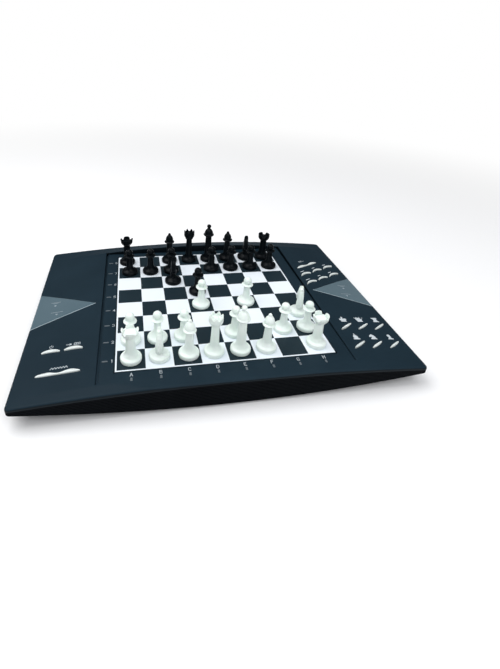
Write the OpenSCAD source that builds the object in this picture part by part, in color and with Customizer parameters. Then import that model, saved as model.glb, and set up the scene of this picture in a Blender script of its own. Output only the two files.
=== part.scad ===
// Tabletop electronic chess computer: a shallow domed plastic console with a
// touch-sensing playing field, two wings of push keys, two smoked windows and
// a set of thirty-two chessmen. Millimetres, +X to the player's right,
// +Y away from the player, +Z up. Origin: centre of the footprint on the table.

/* [Console] */
// Width of the console, side to side
body_w = 320; // [316:1:324]
// Depth of the console, front to back
body_d = 220; // [218:1:222]
// Radius of the four corners seen from above
corner_r = 3.5; // [3:0.5:8]
// Height of the playing surface above the table
board_z = 24; // [24:0.5:26]
// Height of the rubber feet under the flat middle of the base
foot_gap = 1.6; // [1.2:0.1:1.8]
// Radius of the long arc of the underside
belly_r = 1220; // [1200:10:1400]
// Wall thickness of the bottom case
wall = 2.2; // [1.8:0.1:2.4]

/* [Playing field] */
// Side of one square
square_s = 21.5; // [21:0.1:21.6]
// Thickness of the printed playing sheet
sheet_t = 0.6; // [0.5:0.1:0.7]
// Offset of the playing field from the middle of the console, along Y
board_y = -3; // [-3.4:0.1:-2.6]

/* [Keys] */
// Length of a crescent key
crescent_len = 15; // [13:0.5:15.5]
// Length of a piece-choice key
blade_len = 15.4; // [14:0.2:15.8]
// Length of a long wave-shaped key
wave_len = 32; // [28:1:33]
// How far a key stands above the wing
key_rise = 1.1; // [0.6:0.1:1.4]
// Press travel of a key
key_travel = 0.8; // [0.5:0.1:0.8]

/* [Chessmen] */
// Diameter of a chessman's base
man_base = 16.4; // [14:0.2:17]
// Height of the king
king_h = 43; // [38:0.5:46]

/* [Battery bay] */
// Diameter of a battery cell
cell_d = 14.2; // [14:0.1:14.3]
// Length of a battery cell
cell_l = 50.2; // [49.5:0.1:50.5]

/* [Hidden] */
$fn = 48;

case_gap = 0.05;            // gap between the two cases at the parting line
half_w = body_w / 2;
half_d = body_d / 2;
field = 8 * square_s;
skin = 1.9;                 // thickness of the base skin
case_inset = 0.4;           // how far the bottom case stands in from the top one

// Sunken floor around the playing field, and its side grooves
floor_half_w = 99.5;
floor_back = 92.7;
groove_w = 1.8;
groove_depth = 1.6;
groove_front = -99.6;

// Sensor films lie in a pocket under the playing sheet
film_t = 0.2;
film_side = 173;
pocket_z = board_z - sheet_t - 3 * film_t;
field_hole = 168;           // square opening through the floor, filled by the backing plate
plate_t = 1.4;

// Thick part of the top shell under the sunken floor
tray_z = board_z - 2.7;     // its underside
tray_half_w = 102.8;
tray_front = -107.3;
tray_back = 95.1;
tray_step = 0.01;           // run of the near-vertical step at its edges

// Crown of the top: [y, height over the playing surface],
// on the centre line (mid) and at the outer side edge (rim)
top_mid = [[-110, 1.0], [-101, 2.6], [floor_back, 7.3], [110, 2.7]];
top_rim = [[-110, -6.5], [-101, -6.5], [floor_back, -5.9], [110, -6.0]];
// Underside of the top shell, which is also the parting line
low_mid = [[-110, -2.2], [-101, 0.0], [floor_back, 4.8], [110, 0.2]];
low_rim = [[-110, -9.0], [-101, -9.0], [floor_back, -8.4], [110, -8.5]];

// Columns (x) and rows (y) of the crowned surfaces
right_cols = [20, 40, 60, 80, tray_half_w, tray_half_w + tray_step, 120, 140, 164];
cols = concat([for (i = [len(right_cols) - 1:-1:0]) -right_cols[i]], [0], right_cols);
rows = [-118, -110, tray_front - tray_step, tray_front, -101, floor_back,
  tray_back, tray_back + tray_step, 110, 118];

// ==== shared helpers ========================================================
function corners(x, y) = [for (sx = [-1, 1], sy = [-1, 1]) [sx * x, sy * y]];
function unit(v) = v / norm(v);
// Arc over a chord: its radius, and its height at x from the middle
function arc_r(half_chord, rise) = (half_chord * half_chord + rise * rise) / (2 * rise);
function arc_y(r, rise, x) = rise - r + sqrt(r * r - x * x);

module at_each(places, z = 0) {
  for (p = places) translate([p.x, p.y, z]) children();
}
module round_rect(w, d, r) {
  square([w - 2 * r, d], center = true);
  square([w, d - 2 * r], center = true);
  at_each(corners(w / 2 - r, d / 2 - r)) circle(r, $fn = 48);
}
// Flat square block centred on the playing field
module field_block(side, z, t) {
  translate([-side / 2, board_y - side / 2, z]) cube([side, side, t]);
}
// Pan-head screw pointing up, with z = 0 at the joint of head and shank
module screw(r, len, head_r, head_h) {
  difference() {
    union() {
      cylinder(r = r, h = len);
      translate([0, 0, -head_h]) cylinder(r = head_r, h = head_h);
    }
    for (turn = [0, 90])
      rotate([0, 0, turn]) translate([0, 0, -head_h])
        cube([head_r * 1.1, head_r * 0.28, head_h], center = true);
  }
}
// Round tube swept along a list of points, with n sides
module tube(path, r, n = 8) {
  m = len(path);
  ahead = [for (i = [0:m - 1]) unit(path[min(i + 1, m - 1)] - path[max(i - 1, 0)])];
  across = [for (i = [0:m - 1]) unit(cross(ahead[i], [0.01, 0.02, 1]))];
  upward = [for (i = [0:m - 1]) cross(across[i], ahead[i])];
  points = [for (i = [0:m - 1], k = [0:n - 1])
    path[i] + r * (cos(360 * k / n) * across[i] + sin(360 * k / n) * upward[i])];
  faces = concat(
    [for (i = [0:m - 2], k = [0:n - 1])
      let (a = i * n + k, b = i * n + (k + 1) % n)
      each [[a, b, b + n], [a, b + n, a + n]]],
    [[for (k = [n - 1:-1:0]) k]],
    [[for (k = [0:n - 1]) (m - 1) * n + k]]);
  polyhedron(points, faces, convexity = 6);
}

// ==== crowned surfaces ======================================================
function crown(x, y, mid, rim) =
  let (c = lookup(y, mid), e = lookup(y, rim)) c - (c - e) * pow(x / half_w, 2);
function top_h(x, y) = board_z + crown(x, y, top_mid, top_rim);
function low_h(x, y) = board_z + crown(x, y, low_mid, low_rim);
function in_tray(x, y) = abs(x) < tray_half_w + tray_step / 2
  && y > tray_front - tray_step / 2 && y < tray_back + tray_step / 2;
function shell_low(x, y) = in_tray(x, y) ? tray_z : low_h(x, y);

// Closed solid between an upper and a lower height function on the cols x rows grid
module sheet(upper, lower) {
  nx = len(cols);
  ny = len(rows);
  m = nx * ny;
  function k(i, j) = j * nx + i;
  points = concat(
    [for (y = rows, x = cols) [x, y, upper(x, y)]],
    [for (y = rows, x = cols) [x, y, lower(x, y)]]);
  faces = concat(
    [for (j = [0:ny - 2], i = [0:nx - 2]) each [
      [k(i, j), k(i, j + 1), k(i + 1, j + 1)],
      [k(i, j), k(i + 1, j + 1), k(i + 1, j)],
      [m + k(i, j), m + k(i + 1, j + 1), m + k(i, j + 1)],
      [m + k(i, j), m + k(i + 1, j), m + k(i + 1, j + 1)]]],
    // front, back, left and right sides
    [concat([for (i = [0:nx - 1]) k(i, 0)], [for (i = [nx - 1:-1:0]) m + k(i, 0)])],
    [concat([for (i = [nx - 1:-1:0]) k(i, ny - 1)], [for (i = [0:nx - 1]) m + k(i, ny - 1)])],
    [concat([for (j = [ny - 1:-1:0]) k(0, j)], [for (j = [0:ny - 1]) m + k(0, j)])],
    [concat([for (j = [0:ny - 1]) k(nx - 1, j)], [for (j = [ny - 1:-1:0]) m + k(nx - 1, j)])]);
  polyhedron(points, faces, convexity = 4);
}
module top_sheet() {
  sheet(function(x, y) top_h(x, y), function(x, y) shell_low(x, y));
}
module below_top() {
  sheet(function(x, y) low_h(x, y) - case_gap, function(x, y) -40);
}
module footprint(inset, height) {
  linear_extrude(height)
    round_rect(body_w - 2 * inset, body_d - 2 * inset, corner_r - inset * 0.6);
}
// Everything above the long arc of the base, raised by lift
module above_belly(lift = 0) {
  translate([0, 0, foot_gap + belly_r]) rotate([90, 0, 0])
    cylinder(r = belly_r - lift, h = 260, center = true, $fn = 720);
}
function belly(x) = foot_gap + belly_r - sqrt(belly_r * belly_r - x * x);

// ==== key layout ============================================================
// Wing frame: a plane lying on the wing, shared by keys and boards
wing_x = 129;
wing_roll = 6.5;
wing_pitch = 0.56;
wing_stretch = 1.0065;      // length along the rolled wing per length along X
module wing(side) {
  translate([side * wing_x, 0, top_h(wing_x, 0)])
    rotate([wing_pitch, 0, 0]) rotate([0, side * wing_roll, 0])
      children();
}
function wing_u(side, x) = side * (x - wing_x) * wing_stretch;

// Kinds of key outline
fat_crescent = 0;
blade = 1;
wave = 2;
slim_crescent = 3;

// A key place: [side (-1 left, 1 right), distance from the centre line, y, turn, kind]
on_at = [-1, 137.3, -58.0, 0, fat_crescent];
save_at = [-1, 119.9, -58.0, 0, fat_crescent];
training_at = [-1, 128.4, -82.6, 0, wave];
menu_at = [1, 120.2, 50.2, 28, wave];
rear_pitch = [16.7, 8.7];
piece_pitch = 16.5;
rear_keys = [for (y = [30.2, 14.2], i = [0:2])
  [1, 110.8 + rear_pitch.x * i, y + rear_pitch.y * i, 28, slim_crescent]];
piece_keys = [for (y = [-58.6, -82.6], i = [0:2])
  [1, 113.3 + piece_pitch * i, y, 31, blade]];
left_keys = [on_at, save_at, training_at];
right_back_keys = concat([menu_at], rear_keys);

// Levels in the wing frame
flange_top = -2.75;
flange_low = -3.55;
dome_top = flange_low - key_travel - 0.06;
pad_low = dome_top - 0.75;
key_board_top = pad_low - 0.05;
key_board_t = 0.8;
pad_t = 0.4;

// Boards and pads in the wing frame: [inner x, front y, outer x, back y] on the right wing
right_board_area = [-24, -93, 19, 62];
left_board_area = [-24, -93, 19, 20];
front_pad_area = [-22, -91, 18, -49];
back_pad_area = [-22, 7, 18, 60];

// Key outlines, grown by the argument grow
// Crescent: high upper arc, shallow lower arc, rounded ends at +-end_x
module crescent_outline(grow, low_rise) {
  half_chord = 8.2;
  high_rise = 3.9;
  end_x = crescent_len / 2 - 0.6;
  high_r = arc_r(half_chord, high_rise);
  low_r = arc_r(half_chord, low_rise);
  high_y = arc_y(high_r, high_rise, end_x);
  low_y = arc_y(low_r, low_rise, end_x);
  translate([0, -1.6]) {
    intersection() {
      difference() {
        translate([0, high_rise - high_r]) circle(high_r + grow, $fn = 96);
        translate([0, low_rise - low_r]) circle(low_r - grow, $fn = 240);
      }
      square([2 * end_x, 30], center = true);
    }
    for (s = [-1, 1])
      translate([s * end_x, (high_y + low_y) / 2])
        circle((high_y - low_y) / 2 + grow, $fn = 32);
  }
}
// Slim bar with a slight belly and rounded ends
module blade_outline(grow) {
  rise = 1.3;
  r = arc_r(8.6, rise);
  end_x = blade_len / 2 - 0.8;
  end_r = r - sqrt((r - rise) * (r - rise) + end_x * end_x);
  sweep = atan(end_x / (r - rise));
  long_edge = [for (i = [0:12]) let (a = -sweep + 2 * sweep * i / 12)
    [(r + grow) * sin(a), rise - r + (r + grow) * cos(a)]];
  tip = [for (i = [1:9]) let (a = sweep + (180 - 2 * sweep) * i / 10)
    [end_x + (end_r + grow) * sin(a), (end_r + grow) * cos(a)]];
  half = concat(long_edge, tip);
  polygon(concat(half, [for (p = half) -p]));
}
// Long key with a nearly straight lower edge and two humps above it;
// t runs from 0 at the left end to 1 at the right end
function wave_low(t) = -1.6 + 0.35 * pow(abs(2 * t - 1), 6);
function wave_thick(t) = 0.3 + pow(max(0, sin(180 * t)), 0.35)
  * (2.35 - 1.15 * cos(620 * (t - 0.51))) * (0.92 + 0.16 * t);
module wave_outline(grow) {
  n = 32;
  half = wave_len / 2 + grow * 0.8;
  // stations crowd towards the ends
  function station(i) = 0.5 - 0.5 * cos(180 * i / n);
  polygon(concat(
    [for (i = [0:n]) let (t = station(i)) [-half + 2 * half * t, wave_low(t) - grow]],
    [for (i = [n:-1:0]) let (t = station(i))
      [-half + 2 * half * t, wave_low(t) + wave_thick(t) + grow]]));
}
module key_outline(kind, grow) {
  if (kind == fat_crescent) crescent_outline(grow, 0.5);
  if (kind == slim_crescent) crescent_outline(grow, 1.5);
  if (kind == blade) blade_outline(grow);
  if (kind == wave) wave_outline(grow);
}
module at_key(place) {
  wing(place[0]) translate([wing_u(place[0], place[1]), place[2], 0])
    rotate([0, 0, place[3]]) children();
}

// ==== places of the other parts =============================================
// Case screws: [x, y, underside of the web, bore depth above the web's post, shank length]
case_screw_at = concat(
  [for (p = corners(147, 98)) concat(p, [12.7, 2.9, 4.6])],
  [for (s = [-1, 1]) [s * 50, 101.1, 9, 9, 9.4]],
  [for (s = [-1, 1]) [s * 94, -102.6, 10.4, 9.4, 9.4]]);
shank_r = 1.3;
bore_r = 1.32;
function post_z(place) = place[2] + 1.9;

plate_screw_at = concat(
  [for (s = [-90, 90], t = [-56, 56]) [s, board_y + t]],
  [for (s = [-90, 90], t = [-56, 56]) [t, board_y + s]]);

// Main circuit board
pcb_z = 9;
pcb_t = 1.4;
pcb_top = pcb_z + pcb_t;
pcb_centre = [0, -50];
pcb_size = [116, 56];
pcb_screw_at = [for (p = corners(54, 24)) pcb_centre + p];
connector_h = 4.2;

foot_x = 88;
foot_at = corners(foot_x, 84);
foot_top = foot_gap + 1.85;

speaker_at = [66, 34];
speaker_r = 19;

// Battery bay, its cells and its door
bay_y = 33;
bay_half_w = 28.6;
bay_half_d = 23.0;
bay_wall = 2.6;
bay_top = board_z - 5.15;
cell_pitch = 15.1;
cell_z = cell_d / 2 + 4.3;
lead_y = bay_y - 12;
lead_z = 14;
door_front = bay_y - 25;
door_back = bay_y + 37;
door_half_w = 30.4;
door_screw_at = [0, bay_y + 32, 0];

// Lamps beside the ranks (left) and in front of the files
rank_led_at = [for (i = [0:7]) [-95, board_y + (i - 3.5) * square_s]];
file_led_at = [for (i = [0:7]) [(i - 3.5) * square_s, -98.7]];
rank_led_size = [4.2, 1.3];
file_led_size = [1.5, 2.9];
led_slot_extra = 0.2;
led_h = board_z + 0.1 - tray_z;
led_board_t = 1;

// Windows: wedges widening outwards from a tip
window_tip = 105.6;
window_angle = 26;          // half angle at the tip
window_y = -0.3;
window_far = 172;
module window_prism(side, grow) {
  tip = window_tip - grow / sin(window_angle);
  spread = (window_far - tip) * tan(window_angle);
  mirror([side < 0 ? 1 : 0, 0, 0]) translate([0, 0, 5]) linear_extrude(40)
    polygon([[tip, window_y], [window_far, window_y - spread], [window_far, window_y + spread]]);
}

// ==== casing ================================================================
module sunken_floor_cut() {
  translate([-floor_half_w, -half_d - 5, board_z])
    cube([2 * floor_half_w, half_d + 5 + floor_back, 20]);
  for (s = [-1, 1])
    translate([s * (floor_half_w + 0.1) - groove_w / 2, groove_front, board_z - groove_depth])
      cube([groove_w, floor_back - groove_front, 20]);
  translate([0, board_y, pocket_z]) linear_extrude(20) round_rect(field + 4.4, field + 4.4, 2.2);
  field_block(field_hole, 0, 40);
}
// Opening for a key, with a shallow pocket in the underside for its rim
module key_cut(place) {
  at_key(place) {
    translate([0, 0, -8]) linear_extrude(16) key_outline(place[4], 0.2);
    translate([0, 0, -8]) linear_extrude(8 + flange_top + 0.15) key_outline(place[4], 1.05);
  }
}
module led_blocks(places, size, mid_z, height) {
  at_each(places, mid_z) cube([size.x, size.y, height], center = true);
}
module top_case() {
  slot_extra = [led_slot_extra, led_slot_extra];
  color([0.13, 0.18, 0.22])
  difference() {
    union() {
      intersection() {
        footprint(0, 60);
        top_sheet();
      }
      // posts that take the case screws
      for (p = case_screw_at)
        translate([p.x, p.y, post_z(p)])
          cylinder(r = 3.5, h = shell_low(p.x, p.y) + 1 - post_z(p));
    }
    sunken_floor_cut();
    for (place = concat(left_keys, right_back_keys, piece_keys)) key_cut(place);
    for (s = [-1, 1]) window_prism(s, 0.12);
    led_blocks(rank_led_at, rank_led_size + slot_extra, 20, 20);
    led_blocks(file_led_at, file_led_size + slot_extra, 20, 20);
    for (p = case_screw_at)
      translate([p.x, p.y, 0]) cylinder(r = bore_r, h = post_z(p) + p[3]);
    at_each(plate_screw_at, 10) cylinder(r = 0.92, h = board_z - 0.8 - 10);
  }
}

// Hollow tub with the arched base skin
module tub() {
  difference() {
    intersection() {
      footprint(case_inset, 60);
      below_top();
      above_belly();
    }
    intersection() {
      footprint(case_inset + wall, 80);
      above_belly(skin);
    }
  }
}
module bay_box() {
  difference() {
    translate([-bay_half_w - bay_wall, bay_y - bay_half_d - bay_wall, 0])
      cube([2 * (bay_half_w + bay_wall), 2 * (bay_half_d + bay_wall), bay_top + 0.95]);
    translate([-bay_half_w, bay_y - bay_half_d, -1])
      cube([2 * bay_half_w, 2 * bay_half_d, bay_top + 1]);
  }
}
// Everything that stands on the base
module base_supports() {
  for (p = case_screw_at)
    translate([p.x, p.y, 0]) cylinder(r = 4.6, h = post_z(p) - case_gap);
  at_each(pcb_screw_at) cylinder(r = 2.8, h = pcb_z);
  at_each(foot_at, foot_gap + 0.8) cylinder(r = 8.5, h = 6);
  // ring that holds the speaker
  at_each([speaker_at]) difference() {
    cylinder(r = speaker_r + 2, h = 9.5);
    translate([0, 0, -1]) cylinder(r = speaker_r + 0.3, h = 20);
  }
  bay_box();
  // post for the door screw, and thick floor around the back of the door
  translate(door_screw_at) cylinder(r = 3.8, h = 14);
  translate([-door_half_w - 1.4, bay_y + 20, 0]) cube([2 * door_half_w + 2.8, 19, foot_gap + 4]);
}
module speaker_grille() {
  for (i = [-5:5]) {
    half = sqrt(15.5 * 15.5 - i * i * 7.4);
    translate([speaker_at.x + i * 2.7 - 0.6, speaker_at.y - half, -1]) cube([1.2, 2 * half, 10]);
  }
}
module bottom_case() {
  color([0.05, 0.06, 0.07])
  difference() {
    union() {
      tub();
      intersection() {
        base_supports();
        above_belly(0.3);
      }
      // foot sockets reach under the arc
      at_each(foot_at, foot_gap + 0.9) cylinder(r = 8.5, h = belly(foot_x) - foot_gap + 0.6);
    }
    // case screw holes, with wells for the heads
    for (p = case_screw_at) translate([p.x, p.y, -1]) {
      cylinder(r = 1.6, h = 40);
      cylinder(r = 3, h = p[2] + 1);
    }
    at_each(pcb_screw_at, 4.6) cylinder(r = 1.22, h = 10);
    at_each(foot_at) cylinder(r = 6.62, h = foot_gap + 1.9);
    speaker_grille();
    // recess and mouth for the battery door
    translate([-door_half_w, door_front, -1])
      cube([2 * door_half_w, door_back - door_front, foot_gap + 1 + 2.25]);
    translate([-bay_half_w, bay_y - bay_half_d, -1]) cube([2 * bay_half_w, 2 * bay_half_d, 8]);
    translate(door_screw_at) cylinder(r = bore_r, h = 12);
    // passages for the battery leads
    for (s = [-1, 1])
      translate([s * (bay_half_w + bay_wall / 2), lead_y, lead_z]) cube([8, 3, 3], center = true);
  }
}
module case_screws() {
  color("dimgray") for (p = case_screw_at)
    translate([p.x, p.y, p[2]]) screw(shank_r, p[4], head_r = 2.6, head_h = 1.7);
}
module rubber_feet() {
  color([0.12, 0.12, 0.12]) at_each(foot_at)
    rotate_extrude($fn = 48)
      polygon([[0, 0], [5.7, 0], [6.5, 0.8], [6.5, foot_top], [0, foot_top]]);
}

// ==== playing field =========================================================
module playing_sheet() {
  color([0.10, 0.14, 0.18]) translate([0, board_y, board_z - sheet_t])
    linear_extrude(sheet_t) round_rect(field + 4, field + 4, 2);
}
// Sensor film, counted from 0 at the bottom of the stack
module film(level) {
  field_block(film_side, pocket_z + level * film_t, film_t);
}
module sensor_top_film() {
  color([0.75, 0.8, 0.75, 0.6]) film(2);
}
module sensor_spacer() {
  color([0.9, 0.9, 0.85, 0.6]) difference() {
    film(1);
    for (i = [0:7], j = [0:7])
      translate([(i - 3.5) * square_s, board_y + (j - 3.5) * square_s, pocket_z])
        cube([15, 15, 2], center = true);
  }
}
module sensor_bottom_film() {
  color([0.7, 0.78, 0.72, 0.6]) film(0);
}
// Plate under the floor, with a raised middle that carries the films
module backing_plate() {
  color([0.25, 0.27, 0.29]) difference() {
    union() {
      field_block(184, tray_z - plate_t, plate_t);
      field_block(field_hole - 0.4, tray_z - plate_t, pocket_z - tray_z + plate_t);
    }
    at_each(plate_screw_at) cylinder(r = 1.15, h = 40);
  }
}
module backing_plate_screws() {
  color("silver") at_each(plate_screw_at, tray_z - plate_t)
    screw(0.9, 3.1, head_r = 1.8, head_h = 1.1);
}

// ==== windows, lamps ========================================================
module window_plate(side) {
  intersection() {
    footprint(0, 60);
    window_prism(side, 0);
    top_sheet();
  }
}
window_c = [0.30, 0.36, 0.40, 0.75];
module left_window() {
  color(window_c) window_plate(-1);
}
module right_window() {
  color(window_c) window_plate(1);
}
module window_lamps() {
  color([0.9, 0.25, 0.2]) for (s = [-1, 1], p = [[123, 4], [133, -5], [142, 5]])
    wing(s) translate([wing_u(s, p.x), p.y, key_board_top]) cylinder(r = 1.4, h = 1.5, $fn = 32);
}
led_c = [0.85, 0.9, 0.92];
module rank_leds() {
  color(led_c) led_blocks(rank_led_at, rank_led_size, tray_z + led_h / 2, led_h);
}
module file_leds() {
  color(led_c) led_blocks(file_led_at, file_led_size, tray_z + led_h / 2, led_h);
}
side_board_c = [0.1, 0.35, 0.2];
module rank_led_board() {
  color(side_board_c) translate([-98.6, board_y - 80, tray_z - led_board_t])
    cube([6, 160, led_board_t]);
}
module file_led_board() {
  color(side_board_c) translate([-80, -101.4, tray_z - led_board_t])
    cube([160, 5.6, led_board_t]);
}

// ==== keys ==================================================================
// Flat slab over an area of the wing frame, mirrored on the left wing
module wing_slab(side, area, z, t) {
  wing(side) translate([side > 0 ? area[0] : -area[2], area[1], z])
    cube([area[2] - area[0], area[3] - area[1], t]);
}
module key_board(side, area) {
  wing_slab(side, area, key_board_top - key_board_t, key_board_t);
}
module left_key_board() {
  color(side_board_c) key_board(-1, left_board_area);
}
module right_key_board() {
  color(side_board_c) key_board(1, right_board_area);
}
// Pressing dome under a key
module dome(place) {
  crescent = place[4] == fat_crescent || place[4] == slim_crescent;
  base_z = pad_low + 0.1;
  at_key(place) translate([0, crescent ? 0.5 : 0, base_z])
    cylinder(r1 = 2.4, r2 = 1.5, h = dome_top - base_z, $fn = 32);
}
module keypad(side, area, places) {
  union() {
    wing_slab(side, area, key_board_top, pad_t);
    for (place = places) dome(place);
  }
}
pad_c = [0.55, 0.57, 0.58];
module left_keypad() {
  color(pad_c) keypad(-1, front_pad_area, left_keys);
}
module right_keypad() {
  color(pad_c) {
    keypad(1, front_pad_area, piece_keys);
    keypad(1, back_pad_area, right_back_keys);
  }
}

// Key cap with a retaining rim at its foot
module key(place) {
  kind = place[4];
  at_key(place) translate([0, 0, flange_low]) {
    linear_extrude(key_rise - flange_low) key_outline(kind, 0);
    linear_extrude(flange_top - flange_low) key_outline(kind, kind == blade ? 0.9 : 0.8);
  }
}
key_c = [0.86, 0.88, 0.88];
module on_key() color(key_c) key(on_at);
module save_key() color(key_c) key(save_at);
module training_key() color(key_c) key(training_at);
module menu_key() color(key_c) key(menu_at);
module rear_key_1() color(key_c) key(rear_keys[0]);
module rear_key_2() color(key_c) key(rear_keys[1]);
module rear_key_3() color(key_c) key(rear_keys[2]);
module rear_key_4() color(key_c) key(rear_keys[3]);
module rear_key_5() color(key_c) key(rear_keys[4]);
module rear_key_6() color(key_c) key(rear_keys[5]);
module king_key() color(key_c) key(piece_keys[0]);
module queen_key() color(key_c) key(piece_keys[1]);
module rook_key() color(key_c) key(piece_keys[2]);
module bishop_key() color(key_c) key(piece_keys[3]);
module knight_key() color(key_c) key(piece_keys[4]);
module pawn_key() color(key_c) key(piece_keys[5]);

// ==== electronics ===========================================================
module main_board() {
  color([0.1, 0.38, 0.22]) difference() {
    translate([pcb_centre.x - pcb_size.x / 2, pcb_centre.y - pcb_size.y / 2, pcb_z])
      cube([pcb_size.x, pcb_size.y, pcb_t]);
    at_each(pcb_screw_at) cylinder(r = 1.5, h = 20);
  }
}
module board_parts() {
  color([0.12, 0.12, 0.13]) translate([0, 0, pcb_top]) {
    // moulded blob over the processor
    translate([-14, -52, 0]) intersection() {
      translate([0, 0, -16]) sphere(r = 18, $fn = 64);
      cylinder(r = 12, h = 5);
    }
    // driver chips
    for (x = [14, 32]) translate([x - 5, -60, 0]) cube([10, 14, 2.2]);
    // storage capacitors and crystal
    for (x = [-44, -36]) translate([x, -38, 0]) cylinder(r = 3.1, h = 7);
    translate([6, -36, 0]) cube([10, 4.4, 3.4]);
    // connectors for the flat cables
    for (x = [-50, 38]) translate([x, -72, 0]) cube([12, 4.6, connector_h]);
  }
}
module main_board_screws() {
  color("silver") at_each(pcb_screw_at, pcb_top)
    rotate([180, 0, 0]) screw(1.2, 5.6, head_r = 2.3, head_h = 1.4);
}
module speaker() {
  color([0.2, 0.2, 0.21])
  at_each([speaker_at], belly(speaker_at.x + speaker_r) + skin + 0.25)
    // [radius, height]
    rotate_extrude($fn = 64) polygon([[0, 0.9], [4, 1.6], [14, 0.6], [16, 0.2], [16, 0],
      [speaker_r, 0], [speaker_r, 1.2], [17, 1.6], [12, 4.2], [10, 4.4], [10, 7.6], [0, 7.6]]);
}
// Cable 0.5 thick; path lists [x, z] along its upper side
module flat_cable(w, path) {
  rotate([90, 0, 0]) linear_extrude(w, center = true)
    polygon(concat(path, [for (i = [len(path) - 1:-1:0]) path[i] - [0, 0.5]]));
}
module ribbon_cables() {
  z = pcb_top + connector_h + 0.55;
  color([0.75, 0.75, 0.72]) {
    // keys on each wing to the main board
    for (s = [-1, 1]) translate([0, -69.6, 0])
      flat_cable(10, [[s * 40, z], [s * 52, z], [s * 80, z + 0.2],
        [s * 96, z + 0.3], [s * 103, z + 0.3]]);
    // front lamp row to the main board
    translate([-66, -84, 0]) rotate([0, 0, 90])
      flat_cable(8, [[-12, tray_z - 1.05], [-5, tray_z - 3.8], [3, 13.5], [9, pcb_top + 0.55]]);
  }
}

// ==== battery bay ===========================================================
// Out through the passage, then along to the main board
module battery_wires() {
  // [x beyond the bay, y from the passage, z]
  outlet = [[0.75, 0, lead_z], [2, 0, lead_z], [3.4, 0, lead_z], [4.8, -0.5, lead_z],
    [5.8, -1.7, 13.9]];
  run = [for (i = [0:10]) let (q = i / 10)
    [6.2 + 2 * sin(90 * q), -4 - 41.6 * q, 13.8 - 2.5 * q + 0.3 * sin(180 * q)]];
  color([0.7, 0.12, 0.1]) for (s = [-1, 1])
    tube([for (p = concat(outlet, run)) [s * (bay_half_w + p.x), lead_y + p.y, p.z]], 0.7, 8);
}
// Direction along X in which the nub of cell i (-1, 0, 1) points
function facing(i) = i == 0 ? 1 : -1;
module at_cell(i, x) {
  translate([x, bay_y + i * cell_pitch, cell_z]) children();
}
module battery_cells() {
  r = cell_d / 2;
  end = cell_l / 2;
  color([0.2, 0.45, 0.6]) for (i = [-1:1]) at_cell(i, facing(i))
    rotate([0, 90 * facing(i), 0]) rotate_extrude($fn = 64)
      polygon([[0, -end], [r - 0.6, -end], [r, -end + 0.6], [r, end - 1.8],
        [r - 0.8, end - 1.2], [2.7, end - 1.2], [2.7, end], [0, end]]);
}
// Tapering coil springs at the flat ends of the cells
module battery_springs() {
  turns = 3;
  n = 36;
  coil = [for (k = [0:n]) let (a = 360 * turns * k / n, q = k / n, r = 3.8 - 1.2 * q)
    [r * cos(a), r * sin(a), 0.32 + q * 1.6]];
  color("silver") for (i = [-1:1]) at_cell(i, -facing(i) * (bay_half_w - 0.55))
    rotate([0, 90 * facing(i), 0]) tube(coil, 0.28, 6);
}
module battery_contacts() {
  color("silver") for (i = [-1:1], s = [-1, 1])
    at_cell(i, s * (bay_half_w - 0.26)) cube([0.5, 11, 10], center = true);
}
module battery_door() {
  gap = 0.2;
  color([0.06, 0.07, 0.08]) difference() {
    translate([-door_half_w + gap, door_front + gap, foot_gap + 0.3])
      cube([2 * (door_half_w - gap), door_back - door_front - 2 * gap, 1.8]);
    translate(door_screw_at - [0, 0, 1]) {
      cylinder(r = 1.5, h = 20);
      cylinder(r = 2.8, h = foot_gap + 2);
    }
    // finger grip
    for (i = [-3:3]) translate([i * 3 - 0.6, door_front + 5, 0]) cube([1.2, 9, foot_gap + 0.9]);
  }
}
module door_screw() {
  color("dimgray") translate(door_screw_at + [0, 0, foot_gap + 1])
    screw(shank_r, 8.5, head_r = 2.6, head_h = 0.9);
}

// ==== chessmen ==============================================================
// Outlines are [radius, height] from the bottom of the part they turn
base_r = man_base / 2;
queen_h = king_h * 0.842;
bishop_h = king_h * 0.79;
rook_h = king_h * 0.67;
knight_h = king_h * 0.67;
pawn_h = king_h * 0.635;

module turned(outline) {
  rotate_extrude($fn = 48) polygon(outline);
}
// Stepped foot, flared skirt and tapering stem up to height h
module stem(h, waist) {
  turned([[0, 0], [base_r - 0.4, 0], [base_r, 0.5], [base_r, 2.2], [base_r - 0.5, 2.9],
    [base_r * 0.82, 3.5], [base_r * 0.62, 4.6], [waist + 0.7, 6.2], [waist, 8.5],
    [waist * 0.86, h], [0, h]]);
}
module king_man() {
  stem(king_h * 0.66, 3.8);
  translate([0, 0, king_h - 14.6])
    turned([[0, 0], [3.3, 0], [4.6, 1.6], [5.7, 2.2], [5.7, 3.0], [4.7, 3.8], [4.5, 5.6],
      [3.4, 8.0], [1.7, 9.6], [1.25, 10.2], [0, 10.4]]);
  translate([0, 0, king_h - 2.3]) sphere(r = 2.3, $fn = 32);
}
module queen_man() {
  stem(queen_h - 11.7, 3.7);
  translate([0, 0, queen_h - 11.9]) difference() {
    turned([[0, 0], [3.3, 0], [4.3, 0.9], [4.3, 1.5], [3.6, 2.1], [4.9, 4.8], [5.2, 7.6],
      [5.5, 11.9], [4.7, 11.9], [4.2, 8.4], [0, 8.4]]);
    // round notches in the rim of the crown
    for (i = [0:3]) rotate([0, 0, i * 45]) translate([0, 0, 12.2])
      rotate([90, 0, 0]) cylinder(r = 1.9, h = 14, center = true, $fn = 24);
  }
  translate([0, 0, queen_h - 4.9]) sphere(r = 3.0, $fn = 32);
}
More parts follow.
